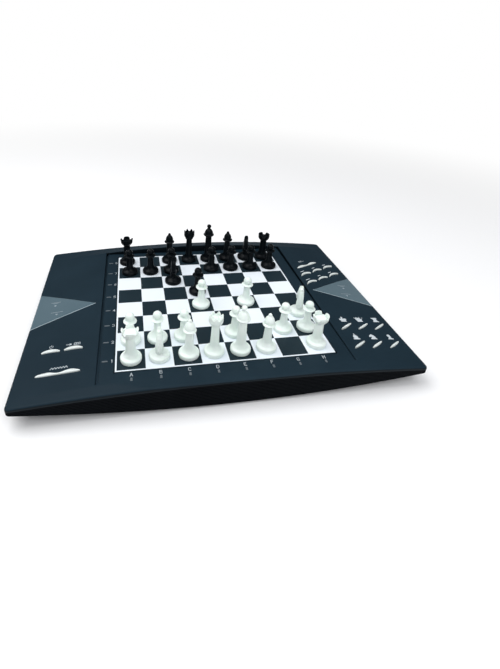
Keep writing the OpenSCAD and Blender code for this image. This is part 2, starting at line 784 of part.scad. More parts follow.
module bishop_man() {
  difference() {
    union() {
      stem(bishop_h - 11.6, 3.5);
      translate([0, 0, bishop_h - 11.8])
        turned([[0, 0], [3.1, 0], [4.3, 0.9], [5.3, 1.4], [5.3, 2.1], [3.6, 2.8], [4.0, 4.4],
          [3.9, 5.6], [2.9, 8.0], [1.5, 9.6], [0, 10.0]]);
      translate([0, 0, bishop_h - 1.5]) sphere(r = 1.5, $fn = 24);
    }
    // slanting slit in the mitre
    translate([2.6, 0, bishop_h - 5.2]) rotate([0, 40, 0]) cube([4.4, 12, 0.8], center = true);
  }
}
module rook_man() {
  stem(rook_h - 9.2, 4.5);
  translate([0, 0, rook_h - 9.4]) difference() {
    turned([[0, 0], [3.9, 0], [4.3, 0.8], [4.7, 2.6], [5.7, 5.2], [6.6, 9.4], [5.7, 9.4],
      [4.6, 6.0], [0, 5.8]]);
    // crossed slots leave four battlements
    for (turn = [45, 135])
      rotate([0, 0, turn]) translate([0, 0, 9.0]) cube([16, 2.6, 5.6], center = true);
  }
}
module pawn_man() {
  stem(pawn_h - 8.6, 3.2);
  translate([0, 0, pawn_h - 8.9])
    turned([[0, 0], [2.8, 0], [4.4, 0.8], [4.9, 1.2], [4.9, 1.7], [2.8, 2.7], [0, 2.7]]);
  translate([0, 0, pawn_h - 3.65]) sphere(r = 3.65, $fn = 48);
}
module knight_man() {
  stem(9, 4.3);
  translate([0, 0, 8.6])
    turned([[0, 0], [3.9, 0], [5.0, 0.8], [5.0, 1.5], [4.2, 2.2], [0, 2.2]]);
  // head facing +X, cut from a flat blank: [x, height]
  translate([0, 2.6, 10.2]) rotate([90, 0, 0]) linear_extrude(5.2)
    polygon([[-3.9, 0], [3.9, 0], [3.6, 2.6], [2.1, 5.0], [2.2, 6.8], [4.4, 6.2], [6.6, 6.9],
      [7.1, 8.6], [5.6, 11.2], [3.4, 14.2], [2.0, knight_h - 11.4], [0.9, knight_h - 10.2],
      [0.1, knight_h - 11.8], [-2.4, 14.4], [-4.4, 10.4], [-5.0, 6.0], [-4.6, 2.4]]);
}

white_c = [0.90, 0.92, 0.88];
black_c = [0.04, 0.04, 0.05];
// Files a..h are 1..8 from the left, ranks 1..8 from the front
module on_square(file, rank, turn = 0) {
  translate([(file - 4.5) * square_s, board_y + (rank - 4.5) * square_s, board_z + 0.02])
    rotate([0, 0, turn]) children();
}
// Places: [file, rank]
module pawns(places) {
  for (p = places) on_square(p.x, p.y) pawn_man();
}
module white_king() color(white_c) on_square(5, 1) king_man();
module white_queen() color(white_c) on_square(4, 1) queen_man();
module white_rooks() color(white_c) {
  on_square(1, 1, 27) rook_man();
  on_square(8, 1, 72) rook_man();
}
module white_bishops() color(white_c) {
  on_square(3.07, 1, 90) bishop_man();
  on_square(6, 1, 60) bishop_man();
}
module white_knights() color(white_c) {
  on_square(2, 1, 80) knight_man();
  on_square(8, 3, 60) knight_man();
}
module white_pawns() {
  color(white_c) pawns([[1, 2], [2, 2], [3, 2], [4, 4], [5, 2], [6, 4], [7, 2], [8, 2]]);
}
module black_king() color(black_c) on_square(5, 8) king_man();
module black_queen() color(black_c) on_square(4, 8) queen_man();
module black_rooks() color(black_c) {
  on_square(0.89, 8) rook_man();
  on_square(7.95, 8, 45) rook_man();
}
module black_bishops() color(black_c) {
  on_square(3, 8, -90) bishop_man();
  on_square(6, 8, -60) bishop_man();
}
module black_knights() color(black_c) {
  on_square(3, 6, -90) knight_man();
  on_square(7, 8, -100) knight_man();
}
module black_pawns() {
  color(black_c) pawns([[1, 7], [2, 7], [3, 7], [4, 5], [5, 7], [6, 7], [7, 7], [8, 7]]);
}

top_case();
bottom_case();
playing_sheet();
sensor_top_film();
sensor_spacer();
sensor_bottom_film();
backing_plate();
backing_plate_screws();
left_window();
right_window();
window_lamps();
rank_leds();
file_leds();
rank_led_board();
file_led_board();
left_key_board();
right_key_board();
left_keypad();
right_keypad();
on_key();
save_key();
training_key();
menu_key();
rear_key_1();
rear_key_2();
rear_key_3();
rear_key_4();
rear_key_5();
rear_key_6();
king_key();
queen_key();
rook_key();
bishop_key();
knight_key();
pawn_key();
main_board();
board_parts();
main_board_screws();
speaker();
ribbon_cables();
battery_wires();
battery_cells();
battery_springs();
battery_contacts();
battery_door();
door_screw();
case_screws();
rubber_feet();
white_king();
white_queen();
white_rooks();
white_bishops();
white_knights();
white_pawns();
black_king();
black_queen();
black_rooks();
black_bishops();
black_knights();
black_pawns();
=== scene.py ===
"""Electronic chess computer with its men set out a few moves into a game.

The case lies flat with its middle over the origin: +x is right, -y the front, +z up, and the
floor is just under z = 0. Rank 1 is at the front and file A on the left. Lengths are in mm,
turned into metres by MM, except in materials, modifiers and the stage, which are in metres.
"""
import math
from collections import namedtuple

import bmesh
import bpy
import numpy as np
from mathutils import Matrix, Vector


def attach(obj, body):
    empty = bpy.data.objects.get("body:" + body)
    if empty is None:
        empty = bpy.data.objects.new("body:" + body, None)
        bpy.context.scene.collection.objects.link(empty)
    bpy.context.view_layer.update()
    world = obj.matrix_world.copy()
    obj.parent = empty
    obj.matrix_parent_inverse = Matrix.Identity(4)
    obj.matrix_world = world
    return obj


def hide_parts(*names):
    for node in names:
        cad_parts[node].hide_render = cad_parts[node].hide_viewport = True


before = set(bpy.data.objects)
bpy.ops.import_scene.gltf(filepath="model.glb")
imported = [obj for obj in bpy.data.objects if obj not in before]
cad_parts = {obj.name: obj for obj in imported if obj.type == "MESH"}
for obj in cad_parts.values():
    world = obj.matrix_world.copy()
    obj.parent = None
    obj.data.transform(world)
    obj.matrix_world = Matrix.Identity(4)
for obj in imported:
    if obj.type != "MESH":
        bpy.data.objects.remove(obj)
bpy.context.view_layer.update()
scene = bpy.context.scene
MM = 0.001
CONSOLE = "console"

# ---------------------------------------------------------------- driving dimensions
HALF_WIDTH, HALF_DEPTH = 160.0, 110.0
CORNER_RADIUS = 3.5
RIM_RADIUS = 1.5         # rounding of the top's outer edge
SQUARE = 21.5
FIELD_Y, FIELD_Z = -3.0, 24.0
PANEL_X = 98.7           # half width of the flat panel round the field
PANEL_FRONT, PANEL_BACK = -99.6, 92.7
GROOVE_X = 100.5         # outer side of the groove on each side of the panel
RECESS_HALF = 88.2       # square recess round the field
HOLE_HALF = 84.0
BELLY_Z, BELLY_RADIUS = 1.6, 1220
WINDOW_TIP = 105.6       # x of a triangular window's inner point
WINDOW_Y = -0.3
WINDOW_SLOPE = math.radians(26)

# (y, height above FIELD_Z) of the top and of its lower edge, on the middle line and at the sides
TOP_MIDDLE = [(-110, 1.0), (-101, 2.6), (92.7, 7.3), (110, 2.7)]
TOP_SIDE = [(-110, -6.5), (-101, -6.5), (92.7, -5.9), (110, -6.0)]
LOW_MIDDLE = [(-110, -2.2), (-101, 0.0), (92.7, 4.8), (110, 0.2)]
LOW_SIDE = [(-110, -9.0), (-101, -9.0), (92.7, -8.4), (110, -8.5)]


def crown(x, y, middle, side):
    """height above FIELD_Z of a surface arched across the case"""
    high, low = (float(np.interp(y, *zip(*table))) for table in (middle, side))
    return high - (high - low) * (x / HALF_WIDTH) ** 2


def top_z(x, y):
    return FIELD_Z + crown(x, y, TOP_MIDDLE, TOP_SIDE)


def low_z(x, y):
    return FIELD_Z + crown(x, y, LOW_MIDDLE, LOW_SIDE)


def belly_z(x):
    return BELLY_Z + BELLY_RADIUS - math.sqrt(BELLY_RADIUS ** 2 - x * x)


def file_x(file):
    """middle of a file, 1 to 8"""
    return (file - 4.5) * SQUARE


def rank_y(rank):
    return FIELD_Y + (rank - 4.5) * SQUARE


def fillet(inside, radius):
    """how far a rounded edge lies below the surface, at a distance inside the edge"""
    if inside >= radius:
        return 0.0
    inside = max(0.0, inside)
    return radius - math.sqrt(max(0.0, radius * radius - (radius - inside) ** 2))


# ---------------------------------------------------------------- materials
MAT = {}


def add(tree, kind, inputs=None, **settings):
    """a new shader node; an input given a socket is linked, otherwise it takes the value"""
    node = tree.nodes.new("ShaderNode" + kind)
    for key, value in settings.items():
        setattr(node, key, value)
    for key, value in (inputs or {}).items():
        if isinstance(value, bpy.types.NodeSocket):
            tree.links.new(value, node.inputs[key])
        else:
            node.inputs[key].default_value = value
    return node


def ramp(tree, factor, *stops):
    """colour ramp through two (position, colour) stops"""
    node = add(tree, "ValToRGB", {0: factor})
    for element, (position, colour) in zip(node.color_ramp.elements, stops):
        element.position = position
        element.color = (*colour, 1)
    return node.outputs[0]


def bare_material(name):
    """a material holding only an output and a Principled shader"""
    mat = bpy.data.materials.new(name)
    mat.use_nodes = True
    tree = mat.node_tree
    tree.nodes.clear()
    output = add(tree, "OutputMaterial")
    shader = add(tree, "BsdfPrincipled")
    tree.links.new(shader.outputs[0], output.inputs[0])
    MAT[name] = mat
    return mat, tree, shader, output


def plastic(name, colour, pale=None, *, rough=0.4, rough_var=0.08, bump=0.15, grain=900.0,
            cloud=22.0, edge=0.25, coat=0.0, metal=0.0, spec=0.5, clear=0.0, sheen=0.0,
            milky=0.0, stretch=None):
    """Moulded plastic, clouding slowly from colour to pale.

    cloud and grain are noise scales for the clouding and the fine surface grain; bump is the
    grain's strength, edge how strongly the edges pale, clear the transmission, milky the
    subsurface weight and stretch a scale on the noise axes.
    """
    mat, tree, shader, _ = bare_material(name)
    coords = add(tree, "TexCoord").outputs["Object"]
    mapping = add(tree, "Mapping", {0: coords})
    if stretch:
        mapping.inputs["Scale"].default_value = stretch
    place = mapping.outputs[0]
    clouds = add(tree, "TexNoise", {"Scale": cloud, "Detail": 4, "Vector": place}).outputs["Fac"]
    grains = add(tree, "TexNoise", {"Scale": grain, "Detail": 3, "Vector": place}).outputs["Fac"]
    pale = pale or tuple(min(1, c * 1.18 + 0.002) for c in colour)
    clouded = ramp(tree, clouds, (0.35, colour), (0.68, pale))
    # convex edges wear paler
    pointiness = add(tree, "NewGeometry").outputs["Pointiness"]
    worn = ramp(tree, pointiness, (0.52, (0, 0, 0)), (0.62, (1, 1, 1)))
    wear = add(tree, "Math", {0: worn, 1: edge}, operation="MULTIPLY")
    worn_colour = (*[min(1, c * 1.6 + 0.03) for c in colour], 1)
    base = add(tree, "MixRGB", {0: wear.outputs[0], 1: clouded, 2: worn_colour})
    roughness = add(tree, "MapRange", {"To Min": max(0.02, rough - rough_var),
                                       "To Max": min(1, rough + rough_var), "Value": clouds})
    relief = add(tree, "Bump", {"Strength": bump, "Distance": 0.00008, "Height": grains})
    for key, node in (("Base Color", base), ("Roughness", roughness), ("Normal", relief)):
        tree.links.new(node.outputs[0], shader.inputs[key])
    values = {"Metallic": metal, "IOR": 1.48, "Specular IOR Level": spec, "Coat Weight": coat,
              "Coat Roughness": 0.12, "Transmission Weight": clear, "Sheen Weight": sheen}
    if milky:
        values |= {"Subsurface Weight": milky, "Subsurface Radius": (0.9, 1.0, 0.85),
                   "Subsurface Scale": 0.004}
    for key, value in values.items():
        shader.inputs[key].default_value = value
    mat.diffuse_color = (*colour, 1)


def darken_walls(mat):
    """painted shade: multiply the colour down where a face turns away from straight up, darkening
    walls as a light from above would
    """
    tree = mat.node_tree
    base = tree.nodes["Principled BSDF"].inputs["Base Color"]
    source = base.links[0].from_socket
    normal = add(tree, "NewGeometry").outputs["True Normal"]
    upward = add(tree, "SeparateXYZ", {0: normal}).outputs["Z"]
    shade = add(tree, "MapRange", {"From Min": 0.15, "From Max": 0.8, "To Min": 0.3,
                                   "To Max": 1.0, "Value": upward},
                interpolation_type="SMOOTHSTEP")
    product = add(tree, "MixRGB", {0: 1.0, 1: source, 2: shade.outputs[0]},
                  blend_type="MULTIPLY")
    tree.links.new(product.outputs[0], base)


# case and printing
plastic("case_top_satin", (0.0085, 0.0210, 0.0320), (0.0105, 0.0250, 0.0375),
        rough=0.48, rough_var=0.05, bump=0.3, grain=2600, spec=0.12, edge=0.2)
# painted shade on the top shell's walls, lip and other steep faces
darken_walls(MAT["case_top_satin"])
plastic("case_base_black", (0.0022, 0.0030, 0.0042), (0.0036, 0.0046, 0.006),
        rough=0.55, bump=0.3, grain=1800, spec=0.03, edge=0.06)
plastic("field_dark_print", (0.0095, 0.0215, 0.0300), (0.0115, 0.0250, 0.0345),
        rough=0.42, rough_var=0.05, bump=0.08, grain=1500, spec=0.2, edge=0.0)
plastic("field_white_print", (0.79, 0.85, 0.91), (0.82, 0.88, 0.94),
        rough=0.38, rough_var=0.05, bump=0.05, grain=1500, spec=0.3, edge=0.0)
plastic("legend_ink", (0.50, 0.56, 0.60), (0.58, 0.63, 0.67), rough=0.5, bump=0.1, edge=0.0)
plastic("legend_ink_dim", (0.24, 0.29, 0.32), (0.28, 0.33, 0.37), rough=0.5, bump=0.1, edge=0.0)
# keys, men, windows and lamps
plastic("key_pearl", (0.66, 0.71, 0.70), (0.76, 0.81, 0.80), rough=0.30, rough_var=0.05,
        bump=0.12, grain=1600, coat=0.3, edge=0.1, cloud=160)
plastic("men_milk_white", (0.81, 0.92, 0.865), (0.86, 0.95, 0.90), rough=0.34, rough_var=0.06,
        bump=0.12, grain=1400, milky=0.25, coat=0.15, edge=0.05, cloud=60)
plastic("men_gloss_black", (0.0010, 0.0026, 0.0042), (0.0018, 0.0038, 0.0056),
        rough=0.34, rough_var=0.06, grain=1400, coat=0.03, spec=0.12, edge=0.05, cloud=90)
plastic("window_smoked", (0.088, 0.140, 0.172), (0.118, 0.178, 0.212), rough=0.22,
        rough_var=0.04, bump=0.02, grain=400, coat=0.3, clear=0.12, spec=0.4, edge=0.5, cloud=9)
# painted highlight: pale colour of the band drawn along each window's front edge, standing in for
# light on its bevel
plastic("window_bevel", (0.26, 0.33, 0.37), (0.34, 0.41, 0.45), rough=0.3, bump=0.05,
        coat=0.2, edge=0.2, cloud=60)
plastic("lamp_lens", (0.085, 0.105, 0.120), (0.12, 0.14, 0.16), rough=0.3, bump=0.1,
        coat=0.1, clear=0.1, edge=0.3, cloud=500)
# inside parts
plastic("film_polyester", (0.50, 0.53, 0.48), rough=0.25, bump=0.1, clear=0.3)
plastic("inner_moulding", (0.05, 0.055, 0.06), rough=0.5, bump=0.4, grain=1200)
plastic("board_green", (0.010, 0.09, 0.035), (0.018, 0.13, 0.05), rough=0.32, bump=0.5,
        grain=700, coat=0.4, cloud=140)
plastic("keypad_silicone", (0.19, 0.2, 0.21), rough=0.6, bump=0.3, sheen=0.2)
plastic("foot_rubber", (0.012, 0.012, 0.012), rough=0.75, bump=0.6, grain=1500)
plastic("chip_epoxy", (0.010, 0.010, 0.011), rough=0.35, bump=0.4)
plastic("speaker_cone", (0.02, 0.02, 0.022), rough=0.6, bump=0.7, grain=1100)
plastic("cable_vinyl", (0.35, 0.05, 0.035), rough=0.35, bump=0.1)
plastic("ribbon_grey", (0.42, 0.42, 0.40), rough=0.45, bump=0.6, grain=300,
        stretch=(0.05, 4, 1))
plastic("cell_jacket", (0.03, 0.10, 0.20), (0.05, 0.16, 0.28), rough=0.25, bump=0.05,
        metal=0.5, coat=0.4)
plastic("nickel_plate", (0.55, 0.55, 0.52), rough=0.28, bump=0.1, metal=1.0)
plastic("zinc_screw", (0.35, 0.36, 0.37), rough=0.35, bump=0.2, metal=1.0)

# which loaded parts wear which material; the rest are case_base_black
WEARERS = {
    "field_dark_print": ["playing_sheet"],
    "film_polyester": ["sensor_top_film", "sensor_spacer", "sensor_bottom_film"],
    "inner_moulding": ["backing_plate"],
    "zinc_screw": ["backing_plate_screws", "main_board_screws", "door_screw", "case_screws"],
    "lamp_lens": ["window_lamps", "rank_leds", "file_leds"],
    "board_green": ["rank_led_board", "file_led_board", "left_key_board", "right_key_board",
                    "main_board"],
    "keypad_silicone": ["left_keypad", "right_keypad"],
    "chip_epoxy": ["board_parts"],
    "speaker_cone": ["speaker"],
    "ribbon_grey": ["ribbon_cables"],
    "cable_vinyl": ["battery_wires"],
    "cell_jacket": ["battery_cells"],
    "nickel_plate": ["battery_springs", "battery_contacts"],
    "foot_rubber": ["rubber_feet"],
    "case_top_satin": ["top_case"],
}
PART_MATERIAL = {part: name for name, parts in WEARERS.items() for part in parts}
BEVELLED = ("playing_sheet", "bottom_case", "battery_door", "rubber_feet", "rank_leds",
            "file_leds")


def wear(mesh, mat):
    """make mat the mesh's only material"""
    mesh.materials.clear()
    mesh.materials.append(mat)
    for face in mesh.polygons:
        face.material_index = 0


for part, part_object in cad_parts.items():
    wear(part_object.data, MAT[PART_MATERIAL.get(part, "case_base_black")])
for part in BEVELLED:
    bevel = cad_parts[part].modifiers.new("edge", "BEVEL")
    bevel.width = 0.00018
    bevel.segments = 2
    bevel.limit_method = "ANGLE"
    bevel.angle_limit = math.radians(50)


# ---------------------------------------------------------------- mesh tools
def link(name, data):
    made = bpy.data.objects.new(name, data)
    scene.collection.objects.link(made)
    return made


def mesh_from_mm(name, verts, faces, weld=None):
    """Mesh with its normals turned outward.

    weld is the distance under which vertices join; 0 joins none but still drops degenerate
    faces, and None does neither.
    """
    mesh = bpy.data.meshes.new(name)
    mesh.from_pydata([tuple(p) for p in np.asarray(verts, float) * MM], [], faces)
    bm = bmesh.new()
    bm.from_mesh(mesh)
    if weld:
        bmesh.ops.remove_doubles(bm, verts=bm.verts, dist=weld * MM)
    if weld is not None:
        bmesh.ops.dissolve_degenerate(bm, dist=1e-7, edges=bm.edges)
    bmesh.ops.recalc_face_normals(bm, faces=bm.faces)
    bm.to_mesh(mesh)
    bm.free()
    return mesh


def finish(name, mesh, material, slot=None, replaces=None, body=CONSOLE, angle=None):
    """put a mesh in the scene, smooth up to angle degrees or flat if there is none"""
    wear(mesh, MAT[material])
    if angle:
        mesh.shade_smooth()
        mesh.set_sharp_from_angle(angle=math.radians(angle))
    made = link(name, mesh)
    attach(made, body)
    if replaces:
        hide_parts(replaces)
    return made


def build(name, verts, faces, material, weld=0.0, **details):
    return finish(name, mesh_from_mm(name, verts, faces, weld), material, **details)


def evaluated(source):
    """a new mesh with the object's modifiers applied"""
    bpy.context.view_layer.update()
    depsgraph = bpy.context.evaluated_depsgraph_get()
    return bpy.data.meshes.new_from_object(source.evaluated_get(depsgraph), depsgraph=depsgraph)


def slab_faces(nx, ny):
    """faces closing an upper and a lower grid of nx by ny vertices, upper first"""
    def up(i, j):
        return j * nx + i

    def low(i, j):
        return nx * ny + j * nx + i

    faces = []
    for j in range(ny - 1):
        for i in range(nx - 1):
            faces.append((up(i, j), up(i + 1, j), up(i + 1, j + 1), up(i, j + 1)))
            faces.append((low(i, j), low(i, j + 1), low(i + 1, j + 1), low(i + 1, j)))
    for i in range(nx - 1):
        for j in (0, ny - 1):
            faces.append((up(i, j), low(i, j), low(i + 1, j), up(i + 1, j)))
    for j in range(ny - 1):
        for i in (0, nx - 1):
            faces.append((up(i, j), up(i, j + 1), low(i, j + 1), low(i, j)))
    return faces


def ring_faces(size, rings, closed=False):
    """bands joining rings of size vertices; closed also joins the last ring to the first"""
    faces = []
    for j in range(rings if closed else rings - 1):
        here, there = j * size, (j + 1) % rings * size
        for i in range(size):
            after = (i + 1) % size
            faces.append((here + i, here + after, there + after, there + i))
    return faces


def rect(x0, y0, x1, y1):
    return [(x0, y0), (x1, y0), (x1, y1), (x0, y1)]


def prism(outline, z0, z1):
    n = len(outline)
    verts = [(x, y, z) for z in (z0, z1) for x, y in outline]
    faces = [tuple(range(n - 1, -1, -1)), tuple(range(n, 2 * n))]
    faces += [(i, (i + 1) % n, n + (i + 1) % n, n + i) for i in range(n)]
    return verts, faces


def merge(parts):
    """join (verts, faces) pairs into one"""
    verts, faces = [], []
    for part_verts, part_faces in parts:
        base = len(verts)
        verts += [tuple(p) for p in part_verts]
        faces += [tuple(base + i for i in face) for face in part_faces]
    return verts, faces


def moved(verts, matrix):
    matrix = np.array(matrix)
    return [tuple(p) for p in np.asarray(verts, float) @ matrix[:3, :3].T + matrix[:3, 3]]


def turn_z(degrees):
    return Matrix.Rotation(math.radians(degrees), 4, "Z")


# ---------------------------------------------------------------- key places and outlines
WING_X = 129.0           # middle of a key wing, beside the panel
WING_PITCH, WING_ROLL = 0.56, 6.5   # tilt in degrees about x and y
WING_STRETCH = 1.0065    # plan distance to distance along the sloping wing
KEY_GAP = 0.2

# side is -1 left or 1 right; x is the distance from the middle line; turn is in degrees
Key = namedtuple("Key", "side x y turn shape")
MEN_KINDS = ("king", "queen", "rook", "bishop", "knight", "pawn")
KEYS = {"on_key": Key(-1, 137.3, -58.0, 0, "arch"),
        "save_key": Key(-1, 119.9, -58.0, 0, "arch"),
        "training_key": Key(-1, 128.4, -82.6, 0, "wave"),
        "menu_key": Key(1, 120.2, 50.2, 28, "wave")}
for row, (rear_y, men_y) in enumerate([(30.2, -58.6), (14.2, -82.6)]):
    for column in range(3):
        index = row * 3 + column
        KEYS[f"rear_key_{index + 1}"] = Key(1, 110.8 + 16.7 * column, rear_y + 8.7 * column, 28,
                                            "crescent")
        KEYS[MEN_KINDS[index] + "_key"] = Key(1, 113.3 + 16.5 * column, men_y, 31, "lens")


def key_matrix(key):
    wing = (Matrix.Translation((key.side * WING_X, 0, top_z(WING_X, 0)))
            @ Matrix.Rotation(math.radians(WING_PITCH), 4, "X")
            @ Matrix.Rotation(math.radians(key.side * WING_ROLL), 4, "Y"))
    offset = key.side * (key.x - WING_X) * WING_STRETCH
    return wing @ Matrix.Translation((offset, key.y, 0)) @ turn_z(key.turn)


def arc_height(x, half_chord, sag):
    """height at x of an arc standing sag above its chord"""
    radius = (half_chord * half_chord + sag * sag) / (2 * sag)
    return sag - radius + math.sqrt(radius * radius - x * x)


def short_key_edges(shape, x, end):
    """low and high y of a short key at x, between its rounded ends"""
    right = max(0.0, x / end) ** 2
    if shape == "lens":
        high = arc_height(x, 8.6, 1.12) + 0.28 * right + 0.12
        return 0.24 - high, high
    low_sag, droop = (0.5, 0.0) if shape == "arch" else (1.5, 0.7)
    low = arc_height(x, 8.2, low_sag) - 1.6 - droop * right
    return low, arc_height(x, 8.2, 3.9) - 1.6


def wave_key_edges(along):
    """low and high y of a long wavy key, at a fraction of its length"""
    low = -1.6 + 0.35 * abs(2 * along - 1) ** 6
    wave = 2.35 - 1.15 * math.cos(math.radians(max(-180.0, 620 * (along - 0.51))))
    taper = max(0.0, math.sin(math.pi * along)) ** 0.35
    return low, low + 0.3 + taper * wave * (0.92 + 0.16 * along)


def key_outline(shape, steps):
    """(x, low y, high y) stations along a key, closest together at its ends"""
    fractions = [0.5 - 0.5 * math.cos(math.pi * i / steps) for i in range(steps + 1)]
    if shape == "wave":
        return [(-16.0 + 32.0 * along, *wave_key_edges(along)) for along in fractions]
    end = 6.4 if shape == "arch" else 6.9
    caps = []            # (middle y, radius) of the left and right ends
    for side in (-1, 1):
        low, high = short_key_edges(shape, side * end, end)
        caps.append(((high + low) / 2, (high - low) / 2))
    stations = []
    for along in fractions:
        x = -(end + caps[0][1]) + (2 * end + caps[0][1] + caps[1][1]) * along
        if abs(x) <= end:
            stations.append((x, *short_key_edges(shape, x, end)))
        else:
            middle, radius = caps[x > 0]
            half = math.sqrt(max(0.0, radius * radius - (abs(x) - end) ** 2))
            stations.append((x, middle - half, middle + half))
    return stations


def key_hole(shape):
    """a key's outline moved outward by KEY_GAP"""
    stations = key_outline(shape, 40)
    low = [Vector((x, y)) for x, y, _ in stations]
    high = [Vector((x, y)) for x, _, y in stations][::-1]
    # rounded ends meet in one point, which is wanted once only
    loop = low + (high[1:-1] if (high[-1] - low[0]).length < 1e-4 else high)
    hole = []
    for i, point in enumerate(loop):
        before = point - loop[i - 1]
        after = loop[(i + 1) % len(loop)] - point
        normal_before = Vector((before.y, -before.x)).normalized()
        normal_after = Vector((after.y, -after.x)).normalized()
        mitre = (normal_before + normal_after).normalized()
        hole.append(tuple(point + mitre * (KEY_GAP / max(0.35, mitre.dot(normal_before)))))
    return hole


# ---------------------------------------------------------------- top shell
# grid lines, close together at steps and rounded edges; TOP_X is mirrored to the left
TOP_X = [
    *np.arange(0, 86, 3.0), 86, 87.6, 87.95, 88.15, 88.2, 88.25, 88.45, 88.8,
    *np.arange(90, 98, 2.0), 98.1, 98.35, 98.55, 98.66, 98.7, 98.74, 99.0, 99.6, 100.2,
    100.46, 100.5, 100.54, 100.65, 100.85, 101.2, 101.8, *np.arange(103, 156, 2.0),
    156.5, 157.0, 157.5, 158.0, 158.4, 158.8, 159.15, 159.45, 159.7, 159.88, 160.0]
RIM_Y = [106.5, 107.0, 107.5, 108.0, 108.4, 108.8, 109.15, 109.45, 109.7, 109.88, 110]
TOP_Y = [
    *(-y for y in reversed(RIM_Y)), -105.5, -104, -103, -102, -101.0, -100.2, -99.9, -99.64,
    -99.56, -99.3, -98.8, *np.arange(-98, -92, 2.0), -91.45, -91.25, -91.2, -91.15, -90.95,
    -90.0, *np.arange(-87, 84, 4.0), 84.0, 84.95, 85.15, 85.2, 85.25, 85.45, 87.0, 89.0, 91.0,
    92.0, 92.4, 92.6, 92.68, 92.72, 92.82, 93.0, 93.3, 93.8, 94.6,
    *np.arange(96, 106, 1.75), *RIM_Y]


def round_corner(x, y):
    """bend a grid point of a corner square; returns x, y and the distance inside the edge"""
    corner_x, corner_y = HALF_WIDTH - CORNER_RADIUS, HALF_DEPTH - CORNER_RADIUS
    u, v = (abs(x) - corner_x) / CORNER_RADIUS, (abs(y) - corner_y) / CORNER_RADIUS
    if u <= 0 or v <= 0:
        return x, y, min(HALF_WIDTH - abs(x), HALF_DEPTH - abs(y))
    reach = max(u, v)
    eighth = math.pi / 4
    angle = eighth * (v / u) if u >= v else math.pi / 2 - eighth * (u / v)
    return (math.copysign(corner_x + CORNER_RADIUS * reach * math.cos(angle), x),
            math.copysign(corner_y + CORNER_RADIUS * reach * math.sin(angle), y),
            CORNER_RADIUS * (1 - reach))


def shell_top(x, y, inside):
    """upper skin: crowned case, level panel with a recess, a groove on each side"""
    across = abs(x)
    height = crown(x, y, TOP_MIDDLE, TOP_SIDE)
    if PANEL_X < across < GROOVE_X and PANEL_FRONT < y < PANEL_BACK:
        height = min(-1.6, height - 0.7)
    elif across <= PANEL_X and y <= PANEL_BACK:
        height = min(height, 0.0)
        if y > PANEL_FRONT:
            height -= fillet(PANEL_X - across, 0.45)
        reach = max(across, abs(y - FIELD_Y))
        if reach < RECESS_HALF:
            height = -1.2
        else:
            height -= fillet(reach - RECESS_HALF, 0.25)
    elif y > PANEL_FRONT and (across > GROOVE_X or y > PANEL_BACK):
        height -= fillet(math.hypot(max(0, across - GROOVE_X), max(0, y - PANEL_BACK)), 0.7)
    return FIELD_Z + height - fillet(inside, RIM_RADIUS)


def shell_under(x, y):
    """lower skin: level under the panel, crowned elsewhere"""
    if abs(x) < 102.8 and -107.3 < y < 95.1:
        return FIELD_Z - 2.7
    return low_z(x, y)


def window_hole(side):
    gap, past_edge = 0.12, 172
    tip = WINDOW_TIP - gap / math.sin(WINDOW_SLOPE)
    spread = (past_edge - tip) * math.tan(WINDOW_SLOPE)
    outline = [(tip, WINDOW_Y), (past_edge, WINDOW_Y - spread), (past_edge, WINDOW_Y + spread)]
    return [(side * x, y) for x, y in outline[::side]]


def top_cutters():
    parts = []
    for key in KEYS.values():
        verts, faces = prism(key_hole(key.shape), -9, 8)
        parts.append((moved(verts, key_matrix(key)), faces))
    for side in (-1, 1):
        parts.append(prism(window_hole(side), 5, 45))
    for n in range(1, 9):
        x, y = file_x(n), rank_y(n)
        # slits left of each rank and in front of each file
        parts.append(prism(rect(-97.2, y - 0.75, -92.8, y + 0.75), 10, 30))
        parts.append(prism(rect(x - 0.85, -100.25, x + 0.85, -97.15), 10, 30))
    parts.append(prism(rect(-HOLE_HALF, FIELD_Y - HOLE_HALF, HOLE_HALF, FIELD_Y + HOLE_HALF),
                       10, 30))
    return merge(parts)


def build_top():
    xs = [-x for x in reversed(TOP_X) if x > 0] + TOP_X
    bent = [round_corner(x, y) for y in TOP_Y for x in xs]
    verts = [(x, y, shell_top(x, y, inside)) for x, y, inside in bent]
    verts += [(x, y, shell_under(x, y)) for x, y, _ in bent]
    shell = link("top_tmp", mesh_from_mm("top_tmp", verts, slab_faces(len(xs), len(TOP_Y))))
    cutter = link("cut_tmp", mesh_from_mm("cut_tmp", *top_cutters()))
    cut = shell.modifiers.new("cut", "BOOLEAN")
    cut.object = cutter
    cut.operation = "DIFFERENCE"
    cut.solver = "MANIFOLD"
    mesh = evaluated(shell)
    if len(mesh.polygons) < 1000:
        # the manifold solver gives next to nothing if it rejects the input
        cut.solver = "EXACT"
        mesh = evaluated(shell)
    bpy.data.objects.remove(shell)
    bpy.data.objects.remove(cutter)
    bm = bmesh.new()
    bm.from_mesh(mesh)
    bmesh.ops.remove_doubles(bm, verts=bm.verts, dist=2e-6)
    bmesh.ops.dissolve_degenerate(bm, dist=1e-6, edges=bm.edges)
    bm.to_mesh(mesh)
    bm.free()
    top = finish("top_shell", mesh, "case_top_satin", slot="case_top", replaces="top_case",
                 angle=32)
    normals = top.modifiers.new("normals", "WEIGHTED_NORMAL")
    normals.keep_sharp = True
    normals.weight = 50


build_top()


# ---------------------------------------------------------------- ribbed wall
RIB_PITCH, RIB_START, RIB_COUNT = 1.45, 0.30, 15
RIB_FACE, RIB_SHOULDER, RIB_ROOT = 0.03, 0.12, 0.40   # insets from the case outline


